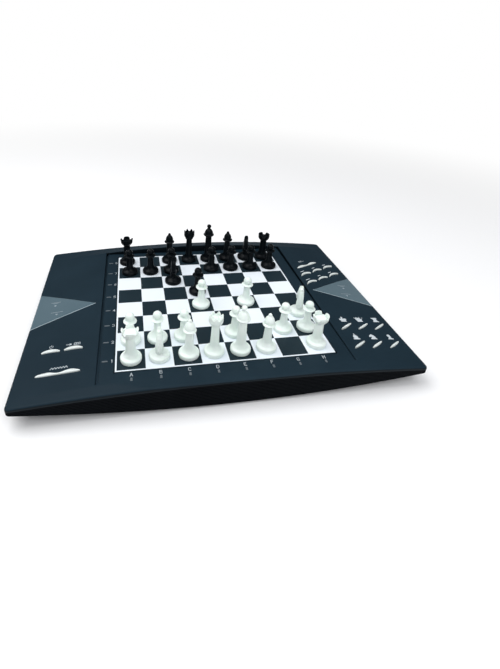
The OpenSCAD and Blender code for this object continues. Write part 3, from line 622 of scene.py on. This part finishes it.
def case_ring(inset):
    """points round the case outline, moved inward"""
    radius = CORNER_RADIUS - inset * 0.6
    a, b = HALF_WIDTH - inset, HALF_DEPTH - inset
    corner_x, corner_y = a - radius, b - radius
    points = []
    # each side: line start, line end, points on it, corner centre, corner's first angle
    for x0, y0, x1, y1, count, centre_x, centre_y, start in (
            (-corner_x, -b, corner_x, -b, 78, corner_x, -corner_y, -90),
            (a, -corner_y, a, corner_y, 53, corner_x, corner_y, 0),
            (corner_x, b, -corner_x, b, 78, -corner_x, corner_y, 90),
            (-a, corner_y, -a, -corner_y, 53, -corner_x, -corner_y, 180)):
        for i in range(count):
            points.append((x0 + (x1 - x0) * i / count, y0 + (y1 - y0) * i / count))
        for i in range(10):
            angle = math.radians(start + 9 * i)
            points.append((centre_x + radius * math.cos(angle),
                           centre_y + radius * math.sin(angle)))
    return points


def build_ribs():
    # (drop below the top's lower edge, inset)
    profile = [(0.04, 1.6), (0.04, 0.42), (RIB_START, RIB_ROOT)]
    for i in range(RIB_COUNT):
        start = RIB_START + RIB_PITCH * i
        end = start + RIB_PITCH
        profile += [(start + 0.10, RIB_SHOULDER), (start + 0.28, RIB_FACE),
                    (end - 0.50, RIB_FACE), (end - 0.32, RIB_SHOULDER),
                    (end - 0.22, RIB_ROOT), (end, RIB_ROOT)]
    outline = case_ring(0.0)
    verts = []
    for drop, inset in profile:
        verts += [(x, y, max(low_z(*at) - drop, belly_z(at[0]) + 0.35))
                  for (x, y), at in zip(case_ring(inset), outline)]
    # turned in under the belly and back up inside: (inset, height above the belly)
    for inset, lift in ((0.45, 0.06), (1.4, 0.01), (1.4, 0.5)):
        verts += [(x, y, belly_z(at[0]) + lift)
                  for (x, y), at in zip(case_ring(inset), outline)]
    faces = ring_faces(len(outline), len(profile) + 3, closed=True)
    build("ribbed_wall", verts, faces, "case_base_black", weld=0.004, slot="case_base", angle=40)


build_ribs()


# ---------------------------------------------------------------- windows
def build_window(side, name, part):
    steps = 44
    length = HALF_WIDTH - WINDOW_TIP
    us = sorted([0.004] + [0.02 + 0.98 * i / steps for i in range(steps + 1)]
                + [1 - inside / length for inside in (0.3, 0.8, 1.5)])
    vs = [-1, -0.985, -0.965, -0.94, *np.linspace(-0.9, 0.9, 28), 0.94, 0.965, 0.985, 1]
    upper, lower = [], []
    for u in us:
        x = WINDOW_TIP + u * length
        half = u * length * math.tan(WINDOW_SLOPE)
        for v in vs:
            y = WINDOW_Y + v * half
            inside = (1 - abs(v)) * half * math.cos(WINDOW_SLOPE)
            z = top_z(x, y) - fillet(inside, 0.45) * 0.8 - fillet(HALF_WIDTH - x, RIM_RADIUS)
            upper.append((side * x, y, z))
            lower.append((side * x, y, low_z(x, y) + 0.02))
    build(name, upper + lower, slab_faces(len(vs), len(us)), "window_smoked", weld=0.003,
          slot="smoked_window", replaces=part, angle=38)


build_window(-1, "left_smoked_window", "left_window")
build_window(1, "right_smoked_window", "right_window")


# ---------------------------------------------------------------- keys
def build_key(name, key):
    """domed cap with a skirt reaching down into the case"""
    rim_z, crest_z, across_steps = 0.05, 1.06, 16
    stations = key_outline(key.shape, 56)
    widest = max(high - low for _, low, high in stations)
    fractions = [0.5 - 0.5 * math.cos(math.pi * j / across_steps)
                 for j in range(across_steps + 1)]
    verts = []
    for x, low, high in stations:
        width = (high - low) / widest
        for part in fractions:
            dome = max(0.0, 1 - abs(2 * part - 1) ** 2.6) ** 0.5
            z = rim_z + (crest_z - rim_z) * dome * min(1, width * 1.3) ** 0.5
            verts.append((x, low + (high - low) * part, z))

    def at(i, j):
        return i * (across_steps + 1) + j

    count = len(stations)
    faces = [(at(i, j), at(i + 1, j), at(i + 1, j + 1), at(i, j + 1))
             for i in range(count - 1) for j in range(across_steps)]
    rim = [at(i, 0) for i in range(count)]
    rim += [at(i, across_steps) for i in range(count - 1, -1, -1)]
    above = rim
    for z in (-0.3, -2.8, -3.5):
        below = list(range(len(verts), len(verts) + len(rim)))
        verts += [(verts[i][0], verts[i][1], z) for i in rim]
        for i in range(len(rim)):
            after = (i + 1) % len(rim)
            faces.append((above[i], above[after], below[after], below[i]))
        above = below
    # strip closing the underside between the two long edges
    for i in range(count - 1):
        faces.append((above[i], above[i + 1], above[2 * count - 2 - i], above[2 * count - 1 - i]))
    build(name + "_cap", moved(verts, key_matrix(key)), faces, "key_pearl", weld=0.003,
          body=name, slot="key_silver", replaces=name, angle=50)


for key_name, key in KEYS.items():
    build_key(key_name, key)


# ---------------------------------------------------------------- printed field
def build_print():
    """light squares and the line round the field"""
    half = 4 * SQUARE
    out = half + 1.15
    outlines = [rect(file_x(file - 0.5), rank_y(rank - 0.5), file_x(file + 0.5),
                     rank_y(rank + 0.5))
                for file in range(1, 9) for rank in range(1, 9) if (file + rank) % 2]
    for x0, y0, x1, y1 in ((-out, -out, out, -half), (-out, half, out, out),
                           (-out, -half, -half, half), (half, -half, out, half)):
        outlines.append(rect(x0, FIELD_Y + y0, x1, FIELD_Y + y1))
    verts, faces = merge(prism(outline, FIELD_Z - 0.01, FIELD_Z + 0.03) for outline in outlines)
    build("field_print", verts, faces, "field_white_print", slot="playing_field")


build_print()


# ---------------------------------------------------------------- marks on the top
def drape(name, outlines, material, lift=0.045, longest=2.4):
    """thin marks laid on the top; edges over longest are halved once to follow its curve"""
    parts = []
    for outline in outlines:
        bm = bmesh.new()
        bm.faces.new([bm.verts.new((x, y, 0)) for x, y in outline])
        bmesh.ops.triangulate(bm, faces=bm.faces[:])
        long_edges = [edge for edge in bm.edges if edge.calc_length() > longest]
        bmesh.ops.subdivide_edges(bm, edges=long_edges, cuts=1, use_grid_fill=True)
        bmesh.ops.triangulate(bm, faces=bm.faces[:])
        bm.verts.index_update()
        upper, lower, faces = [], [], []
        for vert in bm.verts:
            x, y = vert.co.x, vert.co.y
            z = top_z(x, y)
            if abs(x) <= 99.5:
                z = min(FIELD_Z, z)
            upper.append((x, y, z + lift))
            lower.append((x, y, z - 0.02))
        count = len(upper)
        for face in bm.faces:
            ids = [vert.index for vert in face.verts]
            if face.normal.z < 0:
                ids = ids[::-1]
            faces.append(tuple(ids))
            faces.append(tuple(count + i for i in ids[::-1]))
        for edge in bm.edges:
            if len(edge.link_faces) == 1:
                start, end = (vert.index for vert in edge.verts)
                faces.append((start, end, count + end, count + start))
        bm.free()
        parts.append((upper + lower, faces))
    build(name, *merge(parts), material)


def stroke(points, width):
    """a square-ended bar along each leg of a line"""
    bars = []
    for (x0, y0), (x1, y1) in zip(points[:-1], points[1:]):
        along = Vector((x1 - x0, y1 - y0))
        along.normalize()
        across = Vector((-along.y, along.x)) * width / 2
        end = along * width / 2
        start, stop = Vector((x0, y0)) - end, Vector((x1, y1)) + end
        bars.append([tuple(p) for p in
                     (start - across, stop - across, stop + across, start + across)])
    return bars


def disc(cx, cy, radius, n=20):
    return [(cx + radius * math.cos(2 * math.pi * i / n),
             cy + radius * math.sin(2 * math.pi * i / n)) for i in range(n)]


def placed(outlines, x, y, turn=0):
    """outlines turned by degrees and moved to x, y"""
    cos, sin = math.cos(math.radians(turn)), math.sin(math.radians(turn))
    return [[(x + px * cos - py * sin, y + px * sin + py * cos) for px, py in outline]
            for outline in outlines]


# stroked characters: lines of (x, y) on a grid 2 wide and 3 high
GLYPHS = {
    "A": [[(0, 0), (1, 3), (2, 0)], [(.4, 1.1), (1.6, 1.1)]],
    "B": [[(0, 0), (0, 3), (1.5, 3), (1.9, 2.6), (1.9, 1.9), (1.5, 1.55), (0, 1.55)],
          [(1.5, 1.55), (2, 1.1), (2, .4), (1.5, 0), (0, 0)]],
    "C": [[(2, .5), (1.5, 0), (.5, 0), (0, .6), (0, 2.4), (.5, 3), (1.5, 3), (2, 2.5)]],
    "D": [[(0, 0), (0, 3), (1.3, 3), (2, 2.3), (2, .7), (1.3, 0), (0, 0)]],
    "E": [[(2, 0), (0, 0), (0, 3), (2, 3)], [(0, 1.55), (1.6, 1.55)]],
    "F": [[(0, 0), (0, 3), (2, 3)], [(0, 1.55), (1.6, 1.55)]],
    "G": [[(2, 2.5), (1.5, 3), (.5, 3), (0, 2.4), (0, .6), (.5, 0), (1.5, 0), (2, .5),
           (2, 1.4), (1.2, 1.4)]],
    "H": [[(0, 0), (0, 3)], [(2, 0), (2, 3)], [(0, 1.5), (2, 1.5)]],
    "1": [[(.5, 2.4), (1.1, 3), (1.1, 0)]],
    "2": [[(0, 2.4), (.5, 3), (1.5, 3), (2, 2.4), (2, 1.9), (0, 0), (2, 0)]],
    "3": [[(0, 2.6), (.5, 3), (1.5, 3), (2, 2.5), (1.9, 1.9), (1.2, 1.6), (2, 1.2), (2, .5),
           (1.5, 0), (.5, 0), (0, .4)]],
    "4": [[(1.5, 0), (1.5, 3), (0, .9), (2, .9)]],
    "5": [[(2, 3), (.1, 3), (0, 1.7), (1.4, 1.8), (2, 1.3), (2, .5), (1.5, 0), (.4, 0),
           (0, .4)]],
    "6": [[(1.8, 3), (.7, 2.6), (0, 1.5), (0, .6), (.5, 0), (1.5, 0), (2, .5), (2, 1.2),
           (1.5, 1.7), (.2, 1.5)]],
    "7": [[(0, 3), (2, 3), (.8, 0)]],
    "8": [[(.5, 1.6), (0, 2.2), (.3, 3), (1.7, 3), (2, 2.2), (1.5, 1.6), (.5, 1.6), (0, .9),
           (.3, 0), (1.7, 0), (2, .9), (1.5, 1.6)]],
}


def glyph(character, x, y, height):
    scale = height / 3.0
    bars = []
    for line in GLYPHS[character]:
        bars += stroke([((px - 1) * scale * 0.85 + x, (py - 1.5) * scale + y)
                        for px, py in line], 0.42)
    return bars


square_names = []
for n, letter in enumerate("ABCDEFGH", 1):
    square_names += glyph(letter, file_x(n), -94.0, 3.1)
for n in range(1, 9):
    square_names += glyph(str(n), -89.6, rank_y(n), 2.9)
drape("square_names", square_names, "legend_ink")

# filled pictograms of the men, standing on y = 0
ICONS = {
    "king": [
        [(-2, 0), (2, 0), (2, .8), (1.6, 1.2), (2.7, 2.7), (2.4, 3.9), (1.2, 4.2), (.35, 3.6),
         (.35, 4.9), (-.35, 4.9), (-.35, 3.6), (-1.2, 4.2), (-2.4, 3.9), (-2.7, 2.7),
         (-1.6, 1.2), (-2, .8)],
        rect(-.3, 4.9, .3, 6.5), rect(-.9, 5.5, .9, 6.0)],
    "queen": [
        [(-2, 0), (2, 0), (2, .8), (1.6, 1.2), (2.9, 4.9), (1.5, 2.9), (1.2, 5.4), (0, 3.1),
         (-1.2, 5.4), (-1.5, 2.9), (-2.9, 4.9), (-1.6, 1.2), (-2, .8)],
        disc(2.9, 5.1, .4), disc(-2.9, 5.1, .4), disc(1.2, 5.7, .4), disc(-1.2, 5.7, .4)],
    "rook": [
        [(-2.3, 0), (2.3, 0), (2.3, .8), (1.5, 1.3), (1.3, 3.6), (2.1, 4.2), (2.1, 5.8),
         (1.3, 5.8), (1.3, 5.1), (.5, 5.1), (.5, 5.8), (-.5, 5.8), (-.5, 5.1), (-1.3, 5.1),
         (-1.3, 5.8), (-2.1, 5.8), (-2.1, 4.2), (-1.3, 3.6), (-1.5, 1.3), (-2.3, .8)]],
    "bishop": [
        [(-2.3, 0), (2.3, 0), (2.3, .7), (.8, 1.1), (1.5, 1.9), (1.7, 3.2), (1.1, 4.6),
         (0, 5.8), (-1.1, 4.6), (-1.7, 3.2), (-1.5, 1.9), (-.8, 1.1), (-2.3, .7)],
        disc(0, 6.3, .5)],
    "knight": [
        [(-2.1, 0), (2.2, 0), (2.2, .8), (1.6, 1.1), (1.9, 2.8), (1.4, 4.6), (.4, 5.5),
         (.2, 6.3), (-.4, 5.6), (-1.4, 5.0), (-2.6, 3.3), (-2.3, 2.6), (-1.4, 2.9),
         (-.5, 3.1), (-1.5, 1.4), (-2.1, .9)]],
    "pawn": [
        [(-2, 0), (2, 0), (2, .7), (1.1, 1.3), (.7, 3.0), (1.4, 3.2), (1.4, 3.6), (-1.4, 3.6),
         (-1.4, 3.2), (-.7, 3.0), (-1.1, 1.3), (-2, .7)],
        disc(0, 4.6, 1.15)],
}
icons = []
for kind in MEN_KINDS:
    key = KEYS[kind + "_key"]
    for outline in ICONS[kind]:
        icons.append([(key.x + 1.6 + x * 1.32, key.y + 7.2 + y * 1.08) for x, y in outline])
drape("men_icons", icons, "legend_ink")

# behind the left keys: broken ring with a bar, arrow and three boxes, zigzag
broken_ring = [(1.3 * math.sin(math.radians(a)), 1.3 * math.cos(math.radians(a)))
               for a in range(40, 321, 20)]
zigzag = [(-6.3 + 1.05 * i, 1.75 if i % 2 else 0.05) for i in range(13)]
key_marks = placed(stroke(broken_ring, .38) + stroke([(0, .5), (0, 1.7)], .38), -137.6, -52.6)
key_marks += placed(
    stroke([(-5.4, 0), (-1.4, 0)], .5) + stroke([(-2.8, 1.0), (-1.4, 0), (-2.8, -1.0)], .45)
    + stroke([(.6, -1), (5.2, -1), (5.2, 1), (.6, 1), (.6, -1)], .42)
    + stroke([(2.1, -1), (2.1, 1)], .4) + stroke([(3.7, -1), (3.7, 1)], .4), -120.6, -52.8)
key_marks += placed(stroke(zigzag, .46), -128.4, -78.2)
# a pair of dashes behind each rear key
for n, half in enumerate((2.6, 1.8, 2.2, 2.6, 1.6, 2.2), 1):
    key = KEYS[f"rear_key_{n}"]
    key_marks += placed(stroke([(-half, 0), (-.4, 0)], .85) + stroke([(.4, 0), (half, 0)], .85),
                        key.x - 1.7, key.y + 5.1, key.turn)
# two lines behind the menu key
key_marks += placed(stroke([(-4, 0), (4, 0)], .4) + stroke([(-4, 1.2), (1, 1.2)], .4),
                    117.0, 57.4, 28)
drape("key_marks", key_marks, "legend_ink")

window_marks = []
for side in (-1, 1):
    window_marks += placed(stroke([(-4, 0), (4, 0)], .45) + stroke([(-2, -1.4), (2, -1.4)], .45),
                           side * 143, 9.5)
    window_marks += placed([disc(0, 0, 1.0)], side * 143, 4.5)
    window_marks += placed(stroke([(-5, 0), (5, 0)], .45), side * 140, -6)
    window_marks += placed([[(-1.2, 1), (1.2, 1), (0, -1.1)]], side * 140, -9.5)
drape("window_marks", window_marks, "legend_ink_dim", lift=0.06)

# painted highlight: pale band along the front edge of each window, in 18 pieces, in place of
# light caught by the window's bevelled edge
BAND_START, BAND_END, BAND_WIDTH, BAND_INSET = WINDOW_TIP + 1.0, 159.2, 0.75, 0.15
painted_edge_highlights = []
for side in (-1, 1):
    for piece in range(18):
        x0, x1 = (BAND_START + i / 18 * (BAND_END - BAND_START) for i in (piece, piece + 1))
        y0, y1 = (WINDOW_Y - (x - WINDOW_TIP) * math.tan(WINDOW_SLOPE) + BAND_INSET
                  for x in (x0, x1))
        painted_edge_highlights.append([(side * x0, y0), (side * x1, y1), (side * x1, y1 + BAND_WIDTH),
                             (side * x0, y0 + BAND_WIDTH)][::side])
drape("painted_edge_highlights", painted_edge_highlights, "window_bevel", lift=0.035, longest=8)

# ---------------------------------------------------------------- chessmen
FOOT_RADIUS = 8.2
# turned profiles are (radius, height, rounding), with 0.5 where the rounding is left out
FOOT = [(0, 0), (FOOT_RADIUS - .45, 0, .3), (FOOT_RADIUS, .45, .3), (FOOT_RADIUS, 2.9, .5),
        (FOOT_RADIUS - .6, 3.75, .45), (FOOT_RADIUS - 1.4, 4.0, .25),
        (FOOT_RADIUS * .70, 4.5, .7)]


def rounded(profile):
    """replace each inner corner by a curve of four steps"""
    out = [profile[0][:2]]
    for before, corner, after in zip(profile[:-2], profile[1:-1], profile[2:]):
        x, z = corner[:2]
        rounding = corner[2] if len(corner) > 2 else 0.5
        legs = [(point[0] - x, point[1] - z) for point in (before, after)]
        lengths = [math.hypot(*leg) for leg in legs]
        cut = min(rounding, lengths[0] * .48, lengths[1] * .48)
        (x0, z0), (x1, z1) = [(x + leg[0] / length * cut, z + leg[1] / length * cut)
                              for leg, length in zip(legs, lengths)]
        for i in range(5):
            t = i / 4
            out.append(((1 - t) ** 2 * x0 + 2 * t * (1 - t) * x + t * t * x1,
                        (1 - t) ** 2 * z0 + 2 * t * (1 - t) * z + t * t * z1))
    return out + [profile[-1][:2]]


def lathe(profile, segments=72):
    """turn (radius, height) points round z"""
    angles = [2 * math.pi * i / segments for i in range(segments)]
    verts = [(radius * math.cos(a), radius * math.sin(a), z)
             for radius, z in profile for a in angles]
    return verts, ring_faces(segments, len(profile))


def ball(radius, z, n=14):
    return [(radius * math.sin(math.pi * i / n), z - radius * math.cos(math.pi * i / n))
            for i in range(n + 1)]


def body_profile(waist, neck, collar, head):
    """foot, skirt and tapering stem, then head points measured up from the collar"""
    stem = [(waist + 1.15, 5.8, 1.2), (waist + .3, 7.6, 1.8), (waist, 10.0, 2),
            (neck, collar - 1.0, 2)]
    return rounded(FOOT + stem + [(radius, collar + z, *rest) for radius, z, *rest in head])


def teeth(count, r0, r1, z0, z1, width, tip, phase):
    """Curved plates standing round a crown, from radius r0 at z0 to r1 at z1.

    width is the share of the circle filled at the root, tip the share of that left at the
    top, and phase a turn in teeth.
    """
    across, rise = 8, 5
    row = across + 1

    def at(i, j, outer):
        return outer * row * (rise + 1) + j * row + i

    faces = []
    for j in range(rise):
        for i in range(across):
            faces.append((at(i, j, 1), at(i + 1, j, 1), at(i + 1, j + 1, 1), at(i, j + 1, 1)))
            faces.append((at(i, j, 0), at(i, j + 1, 0), at(i + 1, j + 1, 0), at(i + 1, j, 0)))
    for i in range(across):
        for j, side in ((rise, 1), (0, 0)):
            faces.append((at(i, j, side), at(i + 1, j, side), at(i + 1, j, 1 - side),
                          at(i, j, 1 - side)))
    for j in range(rise):
        for i, side in ((0, 0), (across, 1)):
            faces.append((at(i, j, side), at(i, j, 1 - side), at(i, j + 1, 1 - side),
                          at(i, j + 1, side)))
    parts = []
    for tooth in range(count):
        middle = 2 * math.pi * (tooth + phase) / count
        verts = []
        for outer in (0, 1):
            for j in range(rise + 1):
                up = j / rise
                half = math.pi * width / count * (1 - (1 - tip) * up ** 1.3)
                radius = r0 + (r1 - r0) * up ** 1.25
                if not outer:
                    radius -= 1.5 - 0.65 * up
                for i in range(row):
                    off = -1 + 2 * i / across
                    angle = middle + off * half
                    z = z0 + (z1 - z0) * up - 0.35 * off * off * up
                    verts.append((radius * math.cos(angle), radius * math.sin(angle), z))
        parts.append((verts, faces))
    return parts


def king():
    height = 43.0
    head = [(3.35, .3, .6), (4.6, 1.6, .8), (5.65, 2.2, .4), (5.65, 3.0, .4), (4.75, 3.7, .4),
            (4.6, 5.4, 1.6), (3.5, 7.9, 1.6), (1.75, 9.6, .6), (1.3, 10.2, .3), (0, 10.4)]
    return [lathe(body_profile(3.8, 3.25, height - 14.6, head)),
            lathe(ball(2.28, height - 2.3))]


def queen():
    height = 36.2
    head = [(3.2, .2, .3), (4.0, .7, .35), (4.0, 1.2, .35), (3.75, 1.6, .3), (5.0, 2.9, .9),
            (5.7, 4.7, .9), (5.6, 6.6, .4), (5.45, 7.3, .25), (4.8, 7.4, .25), (4.3, 6.8, .3),
            (0, 6.9)]
    return [lathe(body_profile(3.5, 3.0, height - 9.9, head)), lathe(ball(2.6, height - 3.7)),
            *teeth(7, 5.6, 5.5, height - 3.6, height - .05, width=.90, tip=.22, phase=.1)]


def bishop():
    height = 33.97
    head = [(3.05, .3, .4), (4.2, .95, .5), (5.25, 1.4, .35), (5.25, 2.1, .35), (3.7, 2.8, .4),
            (4.0, 4.3, 1.2), (3.95, 5.6, 1.2), (2.95, 8.0, 1.6), (1.5, 9.6, .5), (0, 10.0)]
    return [lathe(body_profile(3.5, 2.95, height - 11.8, head)),
            lathe(ball(1.48, height - 1.5))]


def rook(phase=0.0):
    height = 28.81
    head = [(3.45, .3, .3), (4.1, .9, .5), (5.2, 1.9, .8), (5.95, 3.3, .7), (6.15, 4.7, .35),
            (5.3, 4.9, .3), (4.6, 4.2, .3), (0, 4.3)]
    return [lathe(body_profile(3.85, 3.35, height - 7.3, head)),
            *teeth(4, 6.0, 6.55, height - 3.9, height, width=.80, tip=.70, phase=phase)]


def pawn():
    height = 27.3
    collar = height - 8.9
    globe = [(x, z) for x, z in ball(3.62, height - 3.65, 22) if z > collar + 2.7]
    head = [(2.8, .2, .3), (4.5, .7, .4), (5.3, 1.1, .3), (5.3, 1.7, .3), (3.5, 2.3, .5),
            (2.55, 2.75, .2), (globe[0][0], globe[0][1] - collar)]
    return [lathe(body_profile(3.2, 2.7, collar, head) + globe[1:])]


# side view of the horse's head, facing +x: (x, height)
HORSE = [(-3.7, 0), (3.7, 0), (3.5, 1.8), (2.6, 3.4), (1.9, 5.0), (2.0, 6.3), (3.0, 6.4),
         (4.4, 6.0), (5.6, 5.9), (6.6, 6.7), (6.9, 8.0), (6.2, 9.4), (5.4, 11.0), (4.4, 12.6),
         (3.3, 14.1), (2.2, 15.2), (1.7, 16.2), (1.0, 18.0), (.3, 16.6), (-.6, 16.0),
         (-2.0, 14.8), (-3.3, 12.9), (-4.2, 10.6), (-4.7, 8.2), (-4.8, 5.6), (-4.5, 3.0),
         (-4.1, 1.2)]


def horse_slab(scale, half_thickness):
    """upright slab of the outline, scaled about a point in the head"""
    cx, cy = 0.2, 7.5
    outline = [(cx + (x - cx) * scale, cy + (y - cy) * scale) for x, y in HORSE]
    verts, faces = prism(outline, -half_thickness, half_thickness)
    return [(x, -z, y) for x, y, z in verts], [face[::-1] for face in faces]


def blob(x, y, z, rx, ry, rz):
    """ellipsoid"""
    verts, faces = lathe(ball(1, 0, 12), 20)
    return [(x + px * rx, y + py * ry, z + pz * rz) for px, py, pz in verts], faces


def horse_head():
    """stacked slabs and blobs fused by a voxel remesh"""
    parts = [horse_slab(1, 1.35), horse_slab(.93, 1.85), horse_slab(.84, 2.25)]
    for side in (-1, 1):
        parts += [blob(1.2, side * 1.3, 10.6, 2.6, 1.15, 2.7),     # cheek
                  blob(5.0, side * .95, 7.6, 1.7, 1.15, 1.5),      # muzzle
                  blob(-1.2, side * 1.3, 4.6, 3.2, 1.9, 4.4),      # neck
                  blob(2.5, side * 1.75, 12.4, .75, .55, .55),     # eye
                  blob(0.9, side * .5, 15.9, .75, .55, 2.05)]      # ear
    # mane: ridges down the back
    for i in range(7):
        down = i / 6
        parts.append(blob(-1.6 - 3.1 * math.sin(down * 1.55), 0, 15.2 - 11.5 * down,
                          1.15, 1.25 - .1 * down, 1.05))
    parts.append(lathe([(0, -1.2), (4.3, -1.2), (4.5, -.4), (4.2, .5), (3.4, 1.2), (0, 1.6)],
                       48))
    blank = link("knight_tmp", mesh_from_mm("knight_tmp", *merge(parts)))
    remesh = blank.modifiers.new("remesh", "REMESH")
    remesh.mode = "VOXEL"
    remesh.voxel_size = 0.00030
    smooth = blank.modifiers.new("smooth", "SMOOTH")
    smooth.factor = .5
    smooth.iterations = 5
    blank.modifiers.new("decimate", "DECIMATE").ratio = .45
    mesh = evaluated(blank)
    bpy.data.objects.remove(blank)
    # made taller and set on the foot
    verts = [(x, y, z * 1.333 + 4.72)
             for x, y, z in np.array([v.co[:] for v in mesh.vertices]) / MM]
    return verts, [tuple(face.vertices) for face in mesh.polygons]


HORSE_HEAD = horse_head()


def knight():
    return [lathe(rounded(FOOT + [(4.9, 5.2, .5), (4.3, 5.7, .3), (0, 5.9)])), HORSE_HEAD]


MEN = {"king": king, "queen": queen, "rooks": rook, "bishops": bishop, "knights": knight,
       "pawns": pawn}
MEN_MATERIAL = {"white": "men_milk_white", "black": "men_gloss_black"}
# (file, rank, turn in degrees); parts of a square are men standing off centre
PLACES = {
    "white_king": [(5, 1, 0)],
    "white_queen": [(4, 1, 0)],
    "white_rooks": [(1, 1, 0), (8, 1, 0)],
    "white_bishops": [(3.07, 1, 90), (6, 1, 60)],
    "white_knights": [(2, 1, 84), (8.05, 3, 80)],
    "white_pawns": [(1, 2, 0), (2, 2, 0), (3, 2, 0), (4, 4, 0), (5, 2, 0), (6, 4, 0),
                    (7, 2, 0), (8, 2, 0)],
    "black_king": [(5, 8, 0)],
    "black_queen": [(4, 8, 0)],
    "black_rooks": [(.89, 8, 0), (7.95, 8, 0)],
    "black_bishops": [(3, 8, -90), (6, 8, -60)],
    "black_knights": [(3, 6, -90), (7, 8, -100)],
    "black_pawns": [(1, 7, 0), (2, 7, 0), (3, 7, 0), (4, 5, 0), (5, 7, 0), (6, 7, 0),
                    (7, 7, 0), (8, 7, 0)],
}
for group, places in PLACES.items():
    colour, kind = group.split("_")
    parts = []
    for n, (file, rank, turn) in enumerate(places):
        # the second black rook has its crown turned
        shapes = rook(phase=.28) if (group, n) == ("black_rooks", 1) else MEN[kind]()
        verts, faces = merge(shapes)
        stand = Matrix.Translation((file_x(file), rank_y(rank), FIELD_Z + 0.035)) @ turn_z(turn)
        parts.append((moved(verts, stand), faces))
    build(group + "_turned", *merge(parts), MEN_MATERIAL[colour], weld=0.0015, body=group,
          slot="men_" + colour, replaces=group, angle=42)


# ---------------------------------------------------------------- stage
def build_floor():
    """pale floor that the camera sees fading to pure white away from the origin"""
    mat, tree, shader, output = bare_material("pale_floor")
    shader.inputs["Base Color"].default_value = (0.93, 0.93, 0.94, 1)
    shader.inputs["Roughness"].default_value = 0.9
    shader.inputs["Specular IOR Level"].default_value = 0.0
    position = add(tree, "NewGeometry").outputs["Position"]
    distance = add(tree, "VectorMath", {0: position}, operation="LENGTH").outputs["Value"]
    fade = add(tree, "MapRange", {"Value": distance, "From Min": 0.30, "From Max": 1.1},
               interpolation_type="SMOOTHSTEP").outputs[0]
    seen = add(tree, "LightPath").outputs["Is Camera Ray"]
    factor = add(tree, "Math", {0: fade, 1: seen}, operation="MULTIPLY").outputs[0]
    white = add(tree, "Emission", {0: (1, 1, 1, 1)}).outputs[0]
    mixed = add(tree, "MixShader", {0: factor, 1: shader.outputs[0], 2: white}).outputs[0]
    tree.links.new(mixed, output.inputs["Surface"])
    half, z = 6, -0.0002
    mesh = bpy.data.meshes.new("floor")
    mesh.from_pydata([(x, y, z) for x, y in rect(-half, -half, half, half)], [], [(0, 1, 2, 3)])
    mesh.materials.append(mat)
    link("floor", mesh)


def build_world():
    """white surroundings, dimmer to lighting than to the camera and dimmest in reflections"""
    world = bpy.data.worlds.new("studio")
    scene.world = world
    world.use_nodes = True
    tree = world.node_tree
    background = tree.nodes["Background"]
    background.inputs[0].default_value = (1.0, 1.0, 1.0, 1)
    rays = add(tree, "LightPath").outputs
    seen = add(tree, "MapRange", {"To Min": 0.42, "To Max": 1.0, "Value": rays["Is Camera Ray"]})
    glossy = add(tree, "MapRange", {"To Min": 1.0, "To Max": 0.30,
                                    "Value": rays["Is Glossy Ray"]})
    strength = add(tree, "Math", {0: seen.outputs[0], 1: glossy.outputs[0]},
                   operation="MULTIPLY")
    tree.links.new(strength.outputs[0], background.inputs[1])


def area_light(name, place, size, power, colour):
    """rectangular light aimed at the origin"""
    light = bpy.data.lights.new(name, "AREA")
    light.shape = "RECTANGLE"
    light.size, light.size_y = size
    light.energy = power
    light.color = colour
    lamp = link(name, light)
    lamp.location = place
    lamp.rotation_euler = (-Vector(place)).to_track_quat("-Z", "Y").to_euler()


def build_camera():
    camera = bpy.data.cameras.new("cam")
    holder = link("cam", camera)
    forward = Vector((0.1764, 0.8842, -0.4324)).normalized()
    right = Vector((0.98374, -0.17341, 0.04679))
    right = (right - right.dot(forward) * forward).normalized()
    turn = Matrix((right, right.cross(forward), -forward)).transposed().to_4x4()
    place = Vector((-70.1889, -323.1092, 246.22185)) * MM
    holder.matrix_world = Matrix.Translation(place) @ turn
    camera.sensor_fit = "AUTO"
    camera.sensor_width = 36.0
    camera.lens = 21.95515695
    camera.shift_x = 0.0645590433
    camera.shift_y = -0.1468908819
    camera.clip_start = 0.01
    camera.clip_end = 30
    scene.camera = holder


build_floor()
build_world()
area_light("key_light", (-0.55, 0.12, 0.98), size=(0.9, 0.9), power=7.6, colour=(1.0, 1.0, 1.0))
area_light("fill_light", (0.35, -0.75, 0.95), size=(0.9, 0.7), power=5.2,
           colour=(0.96, 0.98, 1.0))
area_light("top_light", (0.1, 0.15, 1.2), size=(1.2, 0.6), power=2.6, colour=(0.95, 0.98, 1.0))
build_camera()
scene.view_settings.view_transform = "Standard"
scene.view_settings.look = "None"
